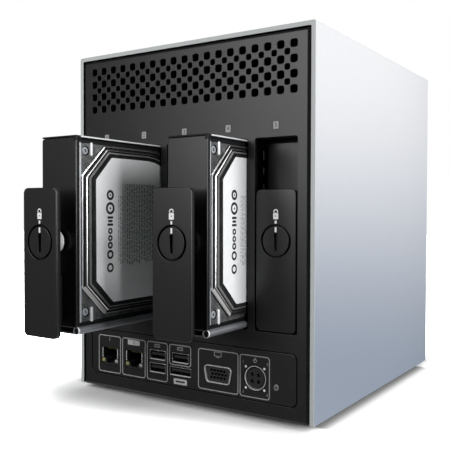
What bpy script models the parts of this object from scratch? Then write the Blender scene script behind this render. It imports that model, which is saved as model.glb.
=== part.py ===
"""Five-bay desktop network storage unit with two of its drive trays drawn out.

Metres, +Z up. The bays face -Y. The origin lies on the floor, under the middle of the unit as it stands
with its trays drawn out. Every piece is drawn in (x, depth, height): x from the casing's middle or from
its own bay's middle, depth inward from the casing's rear plane, height from the casing's bottom edge.
"""

import math

import bmesh
import bpy
from mathutils import Matrix, Vector

# Fits and small allowances
CLEARANCE = 0.0003
OVERCUT = 0.004
PARALLEL = 0.999
SHARP_ANGLE = math.radians(32)
FINE_SEGMENTS = 32
ROUND_SEGMENTS = 24
SMALL_SEGMENTS = 16
CORNER_SEGMENTS = 3
SHEET_SEGMENTS = 2
CHAMFER_SEGMENTS = 1

# Casing
SLEEVE_WALL = 0.0026
SLEEVE_CORNER = 0.0012
PANEL_REVEAL = 0.0007
FASCIA_THICKNESS = 0.003
FRONT_THICKNESS = 0.006
BASE_THICKNESS = 0.002
FOOT_HEIGHT = 0.0033
FOOT_DIAMETER = 0.016
FOOT_INSET = 0.022
PORT_ZONE = 0.0481
VENT_ZONE = 0.0606
SIDE_SPACE = 0.0078
WIRING_SPACE = 0.0164

# Hard drives
DRIVE_LENGTH = 0.147
DRIVE_HEIGHT = 0.1016
DRIVE_THICKNESS = 0.0253
DRIVE_CORNER = 0.003
COVER_THICKNESS = 0.0007
COVER_MARGIN = 0.0021
COVER_CHAMFER = 0.0175
DRIVE_BOARD_THICKNESS = 0.0008
DRIVE_BOARD_MARGIN = 0.008

# Trays
BAY_COUNT = 5
TRAY_PULLS = (0.0, 0.084, 0.0, 0.0527, 0.0)
MULLION = 0.00455
BAY_SIDE_CLEARANCE = 0.0004
BAY_TOP_CLEARANCE = 0.0006
BAY_CORNER = 0.002
TRAY_SIDE_ALLOWANCE = 0.00035
TRAY_LIFT = 0.0009
SHEET = 0.0008
RAIL_HEIGHT = 0.005
RAIL_MOUTH = 0.0028
DRIVE_LIFT = 0.0038
TOP_LIP = 0.0018
PAD_COUNT = 3
PAD_LENGTH = 0.008
PAD_END_INSET = 0.022
PAD_HALF_WIDTH = 0.004
FACE_SETBACK = 0.0135
FACE_THICKNESS = 0.0014
FACE_BOTTOM_INSET = 0.0039
FACE_CORNER = 0.0015
HANDLE_SIDE_INSET = 0.00045
HANDLE_DROP = 0.0002
HANDLE_HEIGHT = 0.0786
HANDLE_THICKNESS = 0.003
HANDLE_CORNER = 0.003
HANDLE_EDGE = 0.0006
HANDLE_WEB_WIDTH = 0.006
HANDLE_WEB_HEIGHT = 0.026
HANDLE_WEB_RISE = 0.006
LOCK_RISE = 0.0501
LOCK_DIAMETER = 0.018
LOCK_BARREL_DIAMETER = 0.013
LOCK_SLOT_LENGTH = 0.0101
LOCK_SLOT_WIDTH = 0.0015
LOCK_SLOT_DEPTH = 0.001
LOCK_TONGUE_OVERLAP = 0.0008
LOCK_TONGUE_WIDTH = 0.004
LOCK_TONGUE_THICKNESS = 0.002
LOCK_TONGUE_GAP = 0.0009

# Drive cage and backplane
CAGE_SHEET = 0.0015
CAGE_PLATE = 0.0012
CAGE_GUIDE_HEIGHT = 0.0048
CAGE_AIR_SLOT_LENGTH = 0.09
CAGE_AIR_SLOT_WIDTH = 0.018
CAGE_AIR_SLOT_START = 0.055
BACKPLANE_THICKNESS = 0.0016
BACKPLANE_EDGE_INSET = 0.002
DRIVE_SOCKET_LENGTH = 0.0084
DRIVE_SOCKET_HEIGHT = 0.042
DRIVE_SOCKET_THICKNESS = 0.006
DRIVE_SOCKET_RISE = 0.012
DRIVE_SOCKET_OFFSET = -0.0065

# Vents
VENT_ROWS = 4
VENT_PITCH = 0.00818
VENT_SIDE_MARGIN = 0.009
VENT_TOP_MARGIN = 0.0107
VENT_LARGE = 0.0044
VENT_WEB = 0.00024

# Main board and ports
BOARD_RISE = 0.0095
BOARD_THICKNESS = 0.0016
BOARD_DEPTH = 0.145
BOARD_START = 0.006
BOARD_SIDE_INSET = 0.001
STANDOFF_DIAMETER = 0.007
STANDOFF_INSET = 0.006
PORT_PANEL_RISE = 0.0088
PORT_PANEL_HEIGHT = 0.0287
PORT_PANEL_MARGIN = 0.0072
PORT_PANEL_THICKNESS = 0.0018
PORT_PANEL_CORNER = 0.0035
PORT_LEDGE = 0.0015
PORT_MARGIN = 0.0058
PORT_CELL_GAP = 0.0012
PORT_BREAK = 0.0052
PORT_NOSE_INSET = 0.0002
LAN_CELL = 0.0194
LAN_WIDTH = 0.016
LAN_HEIGHT = 0.0163
LAN_LENGTH = 0.021
LAN_OPENING_WIDTH = 0.012
LAN_OPENING_HEIGHT = 0.0072
LAN_OPENING_DEPTH = 0.014
LAN_OPENING_DROP = 0.0013
LAN_TAB_WIDTH = 0.0064
LAN_TAB_HEIGHT = 0.0034
USB_CELL = 0.0165
USB_WIDTH = 0.0148
USB_HEIGHT = 0.0187
USB_LENGTH = 0.0175
USB_OPENING_WIDTH = 0.0132
USB_OPENING_HEIGHT = 0.006
USB_OPENING_DEPTH = 0.012
USB_OPENING_DROP = 0.0009
USB_OPENING_PITCH = 0.0082
USB_TONGUE_WIDTH = 0.0112
USB_TONGUE_THICKNESS = 0.0018
USB_TONGUE_ROOT = 0.001
ESATA_OPENING_HEIGHT = 0.005
VGA_CELL = 0.0284
VGA_RISE = 0.0085
VGA_NOSE_WIDTH = 0.0198
VGA_NOSE_HEIGHT = 0.0102
VGA_NOSE_TAPER = 0.0019
VGA_NOSE_CORNER = 0.0022
VGA_NOSE_PROUD = 0.0006
VGA_SHELL = 0.0006
VGA_RECESS = 0.0012
VGA_FLANGE_OVERHANG = 0.003
VGA_LENGTH = 0.013
POWER_CELL = 0.0197
POWER_RISE = 0.0099
POWER_DIAMETER = 0.0152
POWER_RECESS_DIAMETER = 0.0136
POWER_RECESS_DEPTH = 0.006
POWER_CORE_DIAMETER = 0.0096
POWER_LENGTH = 0.017
POWER_FOOT_WIDTH = 0.011
POWER_FOOT_START = 0.006
PANEL_SCREW_DIAMETER = 0.0036
PANEL_SCREW_GAP = 0.0036
PANEL_SCREW_RISE = 0.0065
PANEL_SCREW_SLOT_WIDTH = 0.0008
PANEL_SCREW_SLOT_DEPTH = 0.0006

# Heat sink
HEATSINK_WIDTH = 0.03
HEATSINK_DEPTH = 0.03
HEATSINK_HEIGHT = 0.012
HEATSINK_START = 0.06
HEATSINK_X = 0.02
HEATSINK_BASE = 0.003
FIN_COUNT = 6
FIN_THICKNESS = 0.0015

# Fan
FAN_SIZE = 0.12
FAN_HEIGHT = 0.025
FAN_START = 0.03
FAN_WALL = 0.002
FAN_CORNER = 0.006
FAN_STRUT_WIDTH = 0.006
FAN_STRUT_HEIGHT = 0.003
FAN_MOTOR_DIAMETER = 0.04
FAN_TIP_GAP = 0.002
FAN_HUB_DIAMETER = 0.038
FAN_HUB_MARGIN = 0.002
FAN_SHAFT_DIAMETER = 0.008
FAN_SHAFT_HEIGHT = 0.01
BLADE_COUNT = 7
BLADE_CHORD = 0.03
BLADE_THICKNESS = 0.002
BLADE_PITCH = math.radians(32)
BLADE_ROOT = 0.003

# Front panel
BUTTON_DIAMETER = 0.014
BUTTON_RISE = 0.032
BUTTON_RIM = 0.0015
BUTTON_RIM_THICKNESS = 0.002
LENS_WIDTH = 0.03
LENS_HEIGHT = 0.0025
LENS_RISE = 0.05

# Worked out from the sizes above
TRAY_WIDTH = DRIVE_THICKNESS + 2 * TRAY_SIDE_ALLOWANCE
TRAY_CORNER = BAY_CORNER - BAY_SIDE_CLEARANCE
BAY_WIDTH = TRAY_WIDTH + 2 * BAY_SIDE_CLEARANCE
BAY_PITCH = BAY_WIDTH + MULLION
TRAY_BOTTOM = PORT_ZONE + TRAY_LIFT
DRIVE_BOTTOM = TRAY_BOTTOM + DRIVE_LIFT
DRIVE_TOP = DRIVE_BOTTOM + DRIVE_HEIGHT
TRAY_TOP = DRIVE_TOP + CLEARANCE + SHEET
BAY_TOP = TRAY_TOP + BAY_TOP_CLEARANCE
BODY_HEIGHT = BAY_TOP + VENT_ZONE
INNER_WIDTH = BAY_COUNT * BAY_PITCH - MULLION + 2 * SIDE_SPACE
BODY_WIDTH = INNER_WIDTH + 2 * SLEEVE_WALL
PANEL_WIDTH = INNER_WIDTH - 2 * PANEL_REVEAL
PANEL_TOP = BODY_HEIGHT - SLEEVE_WALL - PANEL_REVEAL
FRAME_FRONT = FACE_SETBACK + FACE_THICKNESS + CLEARANCE
DRIVE_FRONT = FRAME_FRONT + SHEET + CLEARANCE
DRIVE_END = DRIVE_FRONT + DRIVE_LENGTH
BACKPLANE_FRONT = DRIVE_END + CLEARANCE + DRIVE_SOCKET_LENGTH
BACKPLANE_END = BACKPLANE_FRONT + BACKPLANE_THICKNESS
BODY_DEPTH = BACKPLANE_END + WIRING_SPACE + FRONT_THICKNESS
CAGE_START = FASCIA_THICKNESS + CLEARANCE
CAGE_END = BACKPLANE_FRONT - CLEARANCE
CAGE_FLOOR = TRAY_BOTTOM - CLEARANCE
CAGE_ROOF = TRAY_TOP + CLEARANCE
CAGE_HALF_WIDTH = BAY_COUNT * BAY_PITCH / 2 + CAGE_SHEET / 2
HANDLE_BOTTOM = TRAY_BOTTOM - HANDLE_DROP
LOCK_HEIGHT = HANDLE_BOTTOM + LOCK_RISE
LOCK_REACH = BAY_WIDTH / 2 + LOCK_TONGUE_OVERLAP
BOARD_TOP = BOARD_RISE + BOARD_THICKNESS
PORT_SEAT = BOARD_TOP + CLEARANCE
VENT_SMALL = VENT_PITCH - VENT_LARGE - 2 * VENT_WEB
PORT_PANEL_WIDTH = PANEL_WIDTH - 2 * PORT_PANEL_MARGIN
REAR_Y = (max(TRAY_PULLS) - BODY_DEPTH) / 2

AXIS_X = Vector((1, 0, 0))
AXIS_Y = Vector((0, 1, 0))
AXIS_Z = Vector((0, 0, 1))


# Scene and materials

def clear_scene():
    """Remove what the file held before."""
    for old in list(bpy.data.objects):
        bpy.data.objects.remove(old, do_unlink=True)


def new_collection(name):
    """A collection of its own in the scene."""
    collection = bpy.data.collections.new(name)
    bpy.context.scene.collection.children.link(collection)
    return collection


def new_material(name, colour, roughness, metallic=0.0):
    """A Principled material with one colour."""
    material = bpy.data.materials.new(name)
    material.use_nodes = True
    shader = material.node_tree.nodes["Principled BSDF"]
    shader.inputs["Base Color"].default_value = (*colour, 1.0)
    shader.inputs["Roughness"].default_value = roughness
    shader.inputs["Metallic"].default_value = metallic
    return material


clear_scene()
PARTS = new_collection("network_storage_unit")
CUTTERS = new_collection("cutters")

SILVER = new_material("silver_sleeve", (0.72, 0.73, 0.76), 0.4, 0.6)
CHARCOAL = new_material("charcoal_plastic", (0.028, 0.028, 0.03), 0.55)
BLACK = new_material("black_plastic", (0.012, 0.012, 0.013), 0.45)
STEEL = new_material("tray_steel", (0.6, 0.61, 0.63), 0.35, 1.0)
LOCK_METAL = new_material("lock_metal", (0.5, 0.5, 0.5), 0.35, 1.0)
CAST_METAL = new_material("drive_casting", (0.35, 0.36, 0.37), 0.5, 1.0)
LID_METAL = new_material("drive_lid", (0.62, 0.63, 0.64), 0.3, 1.0)
BOARD_GREEN = new_material("circuit_board", (0.02, 0.12, 0.06), 0.5)
CAGE_METAL = new_material("cage_metal", (0.05, 0.05, 0.055), 0.5, 0.8)
SOCKET_METAL = new_material("socket_metal", (0.45, 0.45, 0.46), 0.35, 1.0)
RUBBER = new_material("foot_rubber", (0.02, 0.02, 0.02), 0.8)
SINK_METAL = new_material("heatsink_metal", (0.55, 0.56, 0.58), 0.4, 1.0)
LENS = new_material("lens_plastic", (0.7, 0.75, 0.8), 0.25)


# Shapes

def add_box(shape, low, high):
    """A box between two corners."""
    size = Vector(high) - Vector(low)
    middle = (Vector(high) + Vector(low)) / 2
    matrix = Matrix.Translation(middle) @ Matrix.Diagonal((*size, 1.0))
    return bmesh.ops.create_cube(shape, size=1.0, matrix=matrix)["verts"]


def add_cylinder(shape, start, axis, length, diameter, segments=ROUND_SEGMENTS):
    """A cylinder from the middle of one end, along an axis."""
    turn = AXIS_Z.rotation_difference(axis).to_matrix().to_4x4()
    middle = Vector(start) + axis * length / 2
    radius = diameter / 2
    bmesh.ops.create_cone(
        shape,
        cap_ends=True,
        segments=segments,
        radius1=radius,
        radius2=radius,
        depth=length,
        matrix=Matrix.Translation(middle) @ turn,
    )


def edges_along(shape, axis):
    """The edges that run along an axis."""
    chosen = []
    for edge in shape.edges:
        run = (edge.verts[1].co - edge.verts[0].co).normalized()
        if abs(run.dot(axis)) > PARALLEL:
            chosen.append(edge)
    return chosen


def round_edges(shape, edges, radius, segments=CORNER_SEGMENTS):
    """Round the given edges."""
    bmesh.ops.bevel(shape, geom=edges, offset=radius, segments=segments, profile=0.5, affect="EDGES")


def rounded_box(low, high, axis, radius, segments=CORNER_SEGMENTS):
    """A box whose four edges along an axis are rounded."""
    shape = bmesh.new()
    add_box(shape, low, high)
    round_edges(shape, edges_along(shape, axis), radius, segments)
    return shape


def boxes(*corners):
    """One shape that holds a box for each pair of corners."""
    shape = bmesh.new()
    for low, high in corners:
        add_box(shape, low, high)
    return shape


def cylinder(start, axis, length, diameter, segments=ROUND_SEGMENTS):
    """One cylinder as a shape."""
    shape = bmesh.new()
    add_cylinder(shape, start, axis, length, diameter, segments)
    return shape


def as_mesh(name, shape):
    """Turn a shape into mesh data with smooth round sides."""
    bmesh.ops.recalc_face_normals(shape, faces=shape.faces)
    mesh = bpy.data.meshes.new(name)
    shape.to_mesh(mesh)
    shape.free()
    mesh.shade_smooth()
    mesh.set_sharp_from_angle(angle=SHARP_ANGLE)
    return mesh


def add_piece(name, shape, material, parent, at=(0.0, 0.0, 0.0)):
    """A named piece under its parent, with its origin at a point there."""
    piece = bpy.data.objects.new(name, as_mesh(name, shape))
    piece.data.materials.append(material)
    piece.parent = parent
    piece.location = at
    PARTS.objects.link(piece)
    return piece


def add_tool(piece, label, shape):
    """A hidden wire shape that cuts or extends a piece, in the piece's own space."""
    name = f"{piece.name}_{label}"
    tool = bpy.data.objects.new(name, as_mesh(name, shape))
    tool.parent = piece
    tool.hide_render = True
    tool.display_type = "WIRE"
    CUTTERS.objects.link(tool)
    return tool


def combine(piece, label, shape, operation):
    """Add a Boolean with a shape to a piece."""
    step = piece.modifiers.new(label, "BOOLEAN")
    step.operation = operation
    step.solver = "EXACT"
    step.object = add_tool(piece, label, shape)


def cut(piece, label, shape):
    """Take a shape away from a piece."""
    combine(piece, label, shape, "DIFFERENCE")


def fuse(piece, label, shape):
    """Join a shape to a piece."""
    combine(piece, label, shape, "UNION")


def add_empty(name, location):
    """An unseen parent for pieces that belong together."""
    empty = bpy.data.objects.new(name, None)
    empty.location = location
    PARTS.objects.link(empty)
    return empty


def bay_centre(bay):
    """The x of a bay's middle, counting bays from the left."""
    return (bay - (BAY_COUNT - 1) / 2) * BAY_PITCH


# Casing

def build_sleeve(casing):
    """The folded casing: a top and two sides."""
    half = BODY_WIDTH / 2
    shape = bmesh.new()
    add_box(shape, (-half, 0, 0), (half, BODY_DEPTH, BODY_HEIGHT))
    top_edges = [edge for edge in edges_along(shape, AXIS_Y) if edge.verts[0].co.z > BODY_HEIGHT / 2]
    round_edges(shape, top_edges, SLEEVE_CORNER)
    sleeve = add_piece("outer_sleeve", shape, SILVER, casing)
    inner = INNER_WIDTH / 2
    low = (-inner, -OVERCUT, -OVERCUT)
    high = (inner, BODY_DEPTH + OVERCUT, BODY_HEIGHT - SLEEVE_WALL)
    cut(sleeve, "hollow", boxes((low, high)))


def vent_cutters():
    """Square vent holes: large ones in rows, small ones between them."""
    columns = int((PANEL_WIDTH - 2 * VENT_SIDE_MARGIN) / VENT_PITCH) + 1
    first_x = -(columns - 1) * VENT_PITCH / 2
    first_height = BODY_HEIGHT - VENT_TOP_MARGIN
    shape = bmesh.new()
    for size, shift in ((VENT_LARGE, 0), (VENT_SMALL, 1)):
        for row in range(VENT_ROWS - shift):
            for column in range(columns - shift):
                x = first_x + (column + shift / 2) * VENT_PITCH
                height = first_height - (row + shift / 2) * VENT_PITCH
                low = (x - size / 2, -OVERCUT, height - size / 2)
                high = (x + size / 2, FASCIA_THICKNESS + OVERCUT, height + size / 2)
                add_box(shape, low, high)
    return shape


def bay_cutters():
    """The five bay openings with rounded corners."""
    shape = bmesh.new()
    for bay in range(BAY_COUNT):
        x = bay_centre(bay)
        low = (x - BAY_WIDTH / 2, -OVERCUT, PORT_ZONE)
        high = (x + BAY_WIDTH / 2, FASCIA_THICKNESS + OVERCUT, BAY_TOP)
        add_box(shape, low, high)
    round_edges(shape, edges_along(shape, AXIS_Y), BAY_CORNER)
    return shape


def build_fascia(casing):
    """The rear panel: vents on top, bays in the middle, a recess for the ports below."""
    half = PANEL_WIDTH / 2
    plate = boxes(((-half, 0, 0), (half, FASCIA_THICKNESS, PANEL_TOP)))
    fascia = add_piece("rear_fascia", plate, CHARCOAL, casing)
    cut(fascia, "vents", vent_cutters())
    cut(fascia, "bays", bay_cutters())
    port_half = PORT_PANEL_WIDTH / 2 + CLEARANCE
    low = PORT_PANEL_RISE - CLEARANCE
    high = PORT_PANEL_RISE + PORT_PANEL_HEIGHT + CLEARANCE
    seat = PORT_PANEL_THICKNESS + CLEARANCE
    pocket = rounded_box((-port_half, -OVERCUT, low), (port_half, seat, high), AXIS_Y, PORT_PANEL_CORNER)
    cut(fascia, "port_pocket", pocket)
    ledge_half = port_half - PORT_LEDGE
    back = FASCIA_THICKNESS + OVERCUT
    window = boxes(((-ledge_half, 0, low + PORT_LEDGE), (ledge_half, back, high - PORT_LEDGE)))
    cut(fascia, "port_window", window)


def build_base(casing):
    """The bottom plate with standoffs for the main board."""
    half = INNER_WIDTH / 2 - CLEARANCE
    back = BODY_DEPTH - FRONT_THICKNESS - CLEARANCE
    plate = boxes(((-half, CAGE_START, 0), (half, back, BASE_THICKNESS)))
    base = add_piece("base_plate", plate, BLACK, casing)
    standoffs = bmesh.new()
    height = BOARD_RISE - CLEARANCE - BASE_THICKNESS / 2
    for x, depth in board_corners(STANDOFF_INSET):
        bottom = (x, depth, BASE_THICKNESS / 2)
        add_cylinder(standoffs, bottom, AXIS_Z, height, STANDOFF_DIAMETER, SMALL_SEGMENTS)
    fuse(base, "standoffs", standoffs)


def build_feet(casing):
    """Four round rubber feet under the base plate."""
    x = BODY_WIDTH / 2 - FOOT_INSET
    number = 0
    for depth in (FOOT_INSET, BODY_DEPTH - FOOT_INSET):
        for side in (-1, 1):
            number += 1
            foot = cylinder((side * x, depth, -FOOT_HEIGHT), AXIS_Z, FOOT_HEIGHT - CLEARANCE, FOOT_DIAMETER)
            add_piece(f"foot_{number}", foot, RUBBER, casing)


def build_front(casing):
    """The plain front panel with its power button and status light."""
    half = PANEL_WIDTH / 2
    start = BODY_DEPTH - FRONT_THICKNESS
    plate = boxes(((-half, start, 0), (half, BODY_DEPTH, PANEL_TOP)))
    front = add_piece("front_panel", plate, BLACK, casing)
    bore = BUTTON_DIAMETER + 2 * CLEARANCE
    hole = cylinder((0, start - OVERCUT, BUTTON_RISE), AXIS_Y, FRONT_THICKNESS + 2 * OVERCUT, bore)
    cut(front, "button_hole", hole)
    lens_half = LENS_WIDTH / 2
    lens_top = LENS_RISE + LENS_HEIGHT
    low = (-lens_half - CLEARANCE, start - OVERCUT, LENS_RISE - CLEARANCE)
    high = (lens_half + CLEARANCE, BODY_DEPTH + OVERCUT, lens_top + CLEARANCE)
    cut(front, "lens_slot", boxes((low, high)))
    lens = boxes(((-lens_half, start, LENS_RISE), (lens_half, BODY_DEPTH, lens_top)))
    add_piece("status_lens", lens, LENS, casing)
    rim_start = start - CLEARANCE - BUTTON_RIM_THICKNESS
    rim_diameter = BUTTON_DIAMETER + 2 * BUTTON_RIM
    rim = cylinder((0, 0, 0), AXIS_Y, BUTTON_RIM_THICKNESS, rim_diameter)
    button = add_piece("power_button", rim, BLACK, casing, (0, rim_start, BUTTON_RISE))
    cap_start = BUTTON_RIM_THICKNESS / 2
    cap = cylinder((0, cap_start, 0), AXIS_Y, BODY_DEPTH - rim_start - cap_start, BUTTON_DIAMETER)
    fuse(button, "cap", cap)


# Cage, boards and fan

def build_cage(casing):
    """The drive cage: a floor, a roof and thin dividers that run down to the base plate at each side."""
    floor = CAGE_FLOOR - CAGE_PLATE
    roof = CAGE_ROOF + CAGE_PLATE
    half = CAGE_HALF_WIDTH
    low = (-half, CAGE_START, BASE_THICKNESS + CLEARANCE)
    cage = add_piece("drive_cage", boxes((low, (half, CAGE_END, roof))), CAGE_METAL, casing)
    inner = half - CAGE_SHEET
    cut(cage, "under_space", boxes(((-inner, -OVERCUT, -OVERCUT), (inner, CAGE_END + OVERCUT, floor))))
    cells = bmesh.new()
    guides = bmesh.new()
    slots = bmesh.new()
    cell_half = (BAY_PITCH - CAGE_SHEET) / 2
    guide_half = TRAY_WIDTH / 2 + CLEARANCE
    slot_half = CAGE_AIR_SLOT_WIDTH / 2
    slot_end = CAGE_AIR_SLOT_START + CAGE_AIR_SLOT_LENGTH
    cell_low = CAGE_FLOOR + CAGE_GUIDE_HEIGHT
    cell_high = CAGE_ROOF - CAGE_GUIDE_HEIGHT
    end = CAGE_END + OVERCUT
    for bay in range(BAY_COUNT):
        x = bay_centre(bay)
        add_box(cells, (x - cell_half, -OVERCUT, cell_low), (x + cell_half, end, cell_high))
        add_box(guides, (x - guide_half, -OVERCUT, CAGE_FLOOR), (x + guide_half, end, CAGE_ROOF))
        slot_low = (x - slot_half, CAGE_AIR_SLOT_START, CAGE_ROOF - OVERCUT)
        add_box(slots, slot_low, (x + slot_half, slot_end, roof + OVERCUT))
    cut(cage, "cells", cells)
    cut(cage, "guides", guides)
    cut(cage, "air_slots", slots)


def build_backplane(casing):
    """The upright board behind the drives, with one drive socket for each bay."""
    half = CAGE_HALF_WIDTH - BACKPLANE_EDGE_INSET
    low = (-half, BACKPLANE_FRONT, DRIVE_BOTTOM)
    board = add_piece("backplane", boxes((low, (half, BACKPLANE_END, DRIVE_TOP))), BOARD_GREEN, casing)
    sockets = bmesh.new()
    bottom = DRIVE_BOTTOM + DRIVE_SOCKET_RISE
    middle = BACKPLANE_FRONT + BACKPLANE_THICKNESS / 2
    for bay in range(BAY_COUNT):
        x = bay_centre(bay) + DRIVE_SOCKET_OFFSET
        side = DRIVE_SOCKET_THICKNESS / 2
        top = bottom + DRIVE_SOCKET_HEIGHT
        add_box(sockets, (x - side, DRIVE_END + CLEARANCE, bottom), (x + side, middle, top))
    fuse(board, "sockets", sockets)


def board_half_width():
    """Half the width of the main board, which lies between the cage's two legs."""
    return CAGE_HALF_WIDTH - CAGE_SHEET - BOARD_SIDE_INSET


def board_corners(inset):
    """The main board's four corners, drawn in by an inset."""
    x = board_half_width() - inset
    near = BOARD_START + inset
    far = BOARD_START + BOARD_DEPTH - inset
    return [(-x, near), (x, near), (-x, far), (x, far)]


def build_main_board(casing):
    """The main board over the base plate, and the heat sink on it."""
    half = board_half_width()
    end = BOARD_START + BOARD_DEPTH
    board = boxes(((-half, BOARD_START, BOARD_RISE), (half, end, BOARD_TOP)))
    add_piece("main_board", board, BOARD_GREEN, casing)
    low_x = HEATSINK_X - HEATSINK_WIDTH / 2
    high_x = HEATSINK_X + HEATSINK_WIDTH / 2
    sink_end = HEATSINK_START + HEATSINK_DEPTH
    top = PORT_SEAT + HEATSINK_HEIGHT
    sink = boxes(((low_x, HEATSINK_START, PORT_SEAT), (high_x, sink_end, top)))
    sink = add_piece("processor_heatsink", sink, SINK_METAL, casing)
    channels = bmesh.new()
    pitch = (HEATSINK_WIDTH - FIN_THICKNESS) / (FIN_COUNT - 1)
    for fin in range(FIN_COUNT - 1):
        x = low_x + fin * pitch + FIN_THICKNESS
        low = (x, HEATSINK_START - OVERCUT, PORT_SEAT + HEATSINK_BASE)
        add_box(channels, low, (x + pitch - FIN_THICKNESS, sink_end + OVERCUT, top + OVERCUT))
    cut(sink, "channels", channels)


def build_fan(casing):
    """A flat axial fan over the cage: a square frame with a motor plate, and a bladed rotor."""
    bottom = CAGE_ROOF + CAGE_PLATE + CLEARANCE
    half = FAN_SIZE / 2
    middle = FAN_START + half
    bore = FAN_SIZE - 2 * FAN_WALL
    low = (-half, FAN_START, bottom)
    high = (half, FAN_START + FAN_SIZE, bottom + FAN_HEIGHT)
    frame = add_piece("fan_frame", rounded_box(low, high, AXIS_Z, FAN_CORNER), BLACK, casing)
    bore_start = (0, middle, bottom - OVERCUT)
    cut(frame, "bore", cylinder(bore_start, AXIS_Z, FAN_HEIGHT + 2 * OVERCUT, bore, FINE_SEGMENTS))
    reach = bore / 2 + FAN_WALL / 2
    side = FAN_STRUT_WIDTH / 2
    strut_top = bottom + FAN_STRUT_HEIGHT
    fuse(frame, "strut_across", boxes(((-reach, middle - side, bottom), (reach, middle + side, strut_top))))
    fuse(frame, "strut_along", boxes(((-side, middle - reach, bottom), (side, middle + reach, strut_top))))
    plate = cylinder((0, middle, bottom), AXIS_Z, FAN_STRUT_HEIGHT, FAN_MOTOR_DIAMETER)
    fuse(frame, "motor_plate", plate)
    shaft_base = (0, middle, bottom + FAN_STRUT_HEIGHT / 2)
    shaft_length = FAN_STRUT_HEIGHT / 2 + FAN_SHAFT_HEIGHT
    shaft = cylinder(shaft_base, AXIS_Z, shaft_length, FAN_SHAFT_DIAMETER, SMALL_SEGMENTS)
    fuse(frame, "shaft", shaft)
    rotor_bottom = strut_top + CLEARANCE
    hub_height = FAN_HEIGHT - FAN_STRUT_HEIGHT - CLEARANCE - FAN_HUB_MARGIN
    hub = cylinder((0, 0, 0), AXIS_Z, hub_height, FAN_HUB_DIAMETER)
    rotor = add_piece("fan_rotor", hub, BLACK, casing, (0, middle, rotor_bottom))
    blades = bmesh.new()
    tip = bore / 2 - FAN_TIP_GAP
    root = FAN_HUB_DIAMETER / 2 - BLADE_ROOT
    half_chord = BLADE_CHORD / 2
    half_blade = BLADE_THICKNESS / 2
    for blade in range(BLADE_COUNT):
        before = len(blades.verts)
        add_box(blades, (root, -half_chord, -half_blade), (tip, half_chord, half_blade))
        blades.verts.ensure_lookup_table()
        turn = Matrix.Rotation(2 * math.pi * blade / BLADE_COUNT, 4, "Z")
        twist = Matrix.Rotation(BLADE_PITCH, 4, "X")
        lift = Matrix.Translation((0, 0, hub_height / 2))
        bmesh.ops.transform(blades, matrix=turn @ lift @ twist, verts=blades.verts[before:])
    fuse(rotor, "blades", blades)
    bearing = FAN_SHAFT_DIAMETER + 2 * CLEARANCE
    depth = FAN_SHAFT_HEIGHT + CLEARANCE
    cut(rotor, "bearing", cylinder((0, 0, -OVERCUT), AXIS_Z, OVERCUT + depth, bearing, SMALL_SEGMENTS))


# Ports

def port_centres():
    """The x of each port's middle, laid out from the port panel's left end."""
    cells = [
        ("lan_jack_1", LAN_CELL, PORT_CELL_GAP),
        ("lan_jack_2", LAN_CELL, PORT_CELL_GAP),
        ("usb_stack", USB_CELL, PORT_CELL_GAP),
        ("usb_esata_stack", USB_CELL, PORT_BREAK),
        ("vga_socket", VGA_CELL, PORT_CELL_GAP),
        ("power_socket", POWER_CELL, PANEL_SCREW_GAP),
    ]
    centres = {}
    x = -PORT_PANEL_WIDTH / 2 + PORT_MARGIN
    for name, width, gap in cells:
        centres[name] = x + width / 2
        x += width + gap
    centres["port_panel_screw"] = x
    return centres


def build_lan_jack(casing, name, x):
    """A network jack whose clip slot is at the bottom of its opening."""
    half = LAN_WIDTH / 2
    top = PORT_SEAT + LAN_HEIGHT
    low = (x - half, PORT_NOSE_INSET, PORT_SEAT)
    high = (x + half, PORT_NOSE_INSET + LAN_LENGTH, top)
    jack = add_piece(name, boxes((low, high)), SOCKET_METAL, casing)
    end = PORT_NOSE_INSET + LAN_OPENING_DEPTH
    opening_top = top - LAN_OPENING_DROP
    opening_low = opening_top - LAN_OPENING_HEIGHT
    side = LAN_OPENING_WIDTH / 2
    cut(jack, "opening", boxes(((x - side, -OVERCUT, opening_low), (x + side, end, opening_top))))
    tab = LAN_TAB_WIDTH / 2
    tab_low = (x - tab, -OVERCUT, opening_low - LAN_TAB_HEIGHT)
    cut(jack, "clip_slot", boxes((tab_low, (x + tab, end, opening_top - LAN_OPENING_DROP))))


def build_usb(casing, name, x, lower_height):
    """Two sockets one over the other, each with a contact tongue in its opening."""
    half = USB_WIDTH / 2
    top = PORT_SEAT + USB_HEIGHT
    low = (x - half, PORT_NOSE_INSET, PORT_SEAT)
    high = (x + half, PORT_NOSE_INSET + USB_LENGTH, top)
    stack = add_piece(name, boxes((low, high)), SOCKET_METAL, casing)
    end = PORT_NOSE_INSET + USB_OPENING_DEPTH
    side = USB_OPENING_WIDTH / 2
    tongue = USB_TONGUE_WIDTH / 2
    openings = bmesh.new()
    tongues = bmesh.new()
    opening_top = top - USB_OPENING_DROP
    tongue_start = 2 * PORT_NOSE_INSET
    tongue_end = end + USB_TONGUE_ROOT
    for height in (USB_OPENING_HEIGHT, lower_height):
        middle = opening_top - height / 2
        add_box(openings, (x - side, -OVERCUT, opening_top - height), (x + side, end, opening_top))
        tongue_low = (x - tongue, tongue_start, middle - USB_TONGUE_THICKNESS / 2)
        add_box(tongues, tongue_low, (x + tongue, tongue_end, middle + USB_TONGUE_THICKNESS / 2))
        opening_top -= USB_OPENING_PITCH
    cut(stack, "openings", openings)
    fuse(stack, "tongues", tongues)


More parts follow.
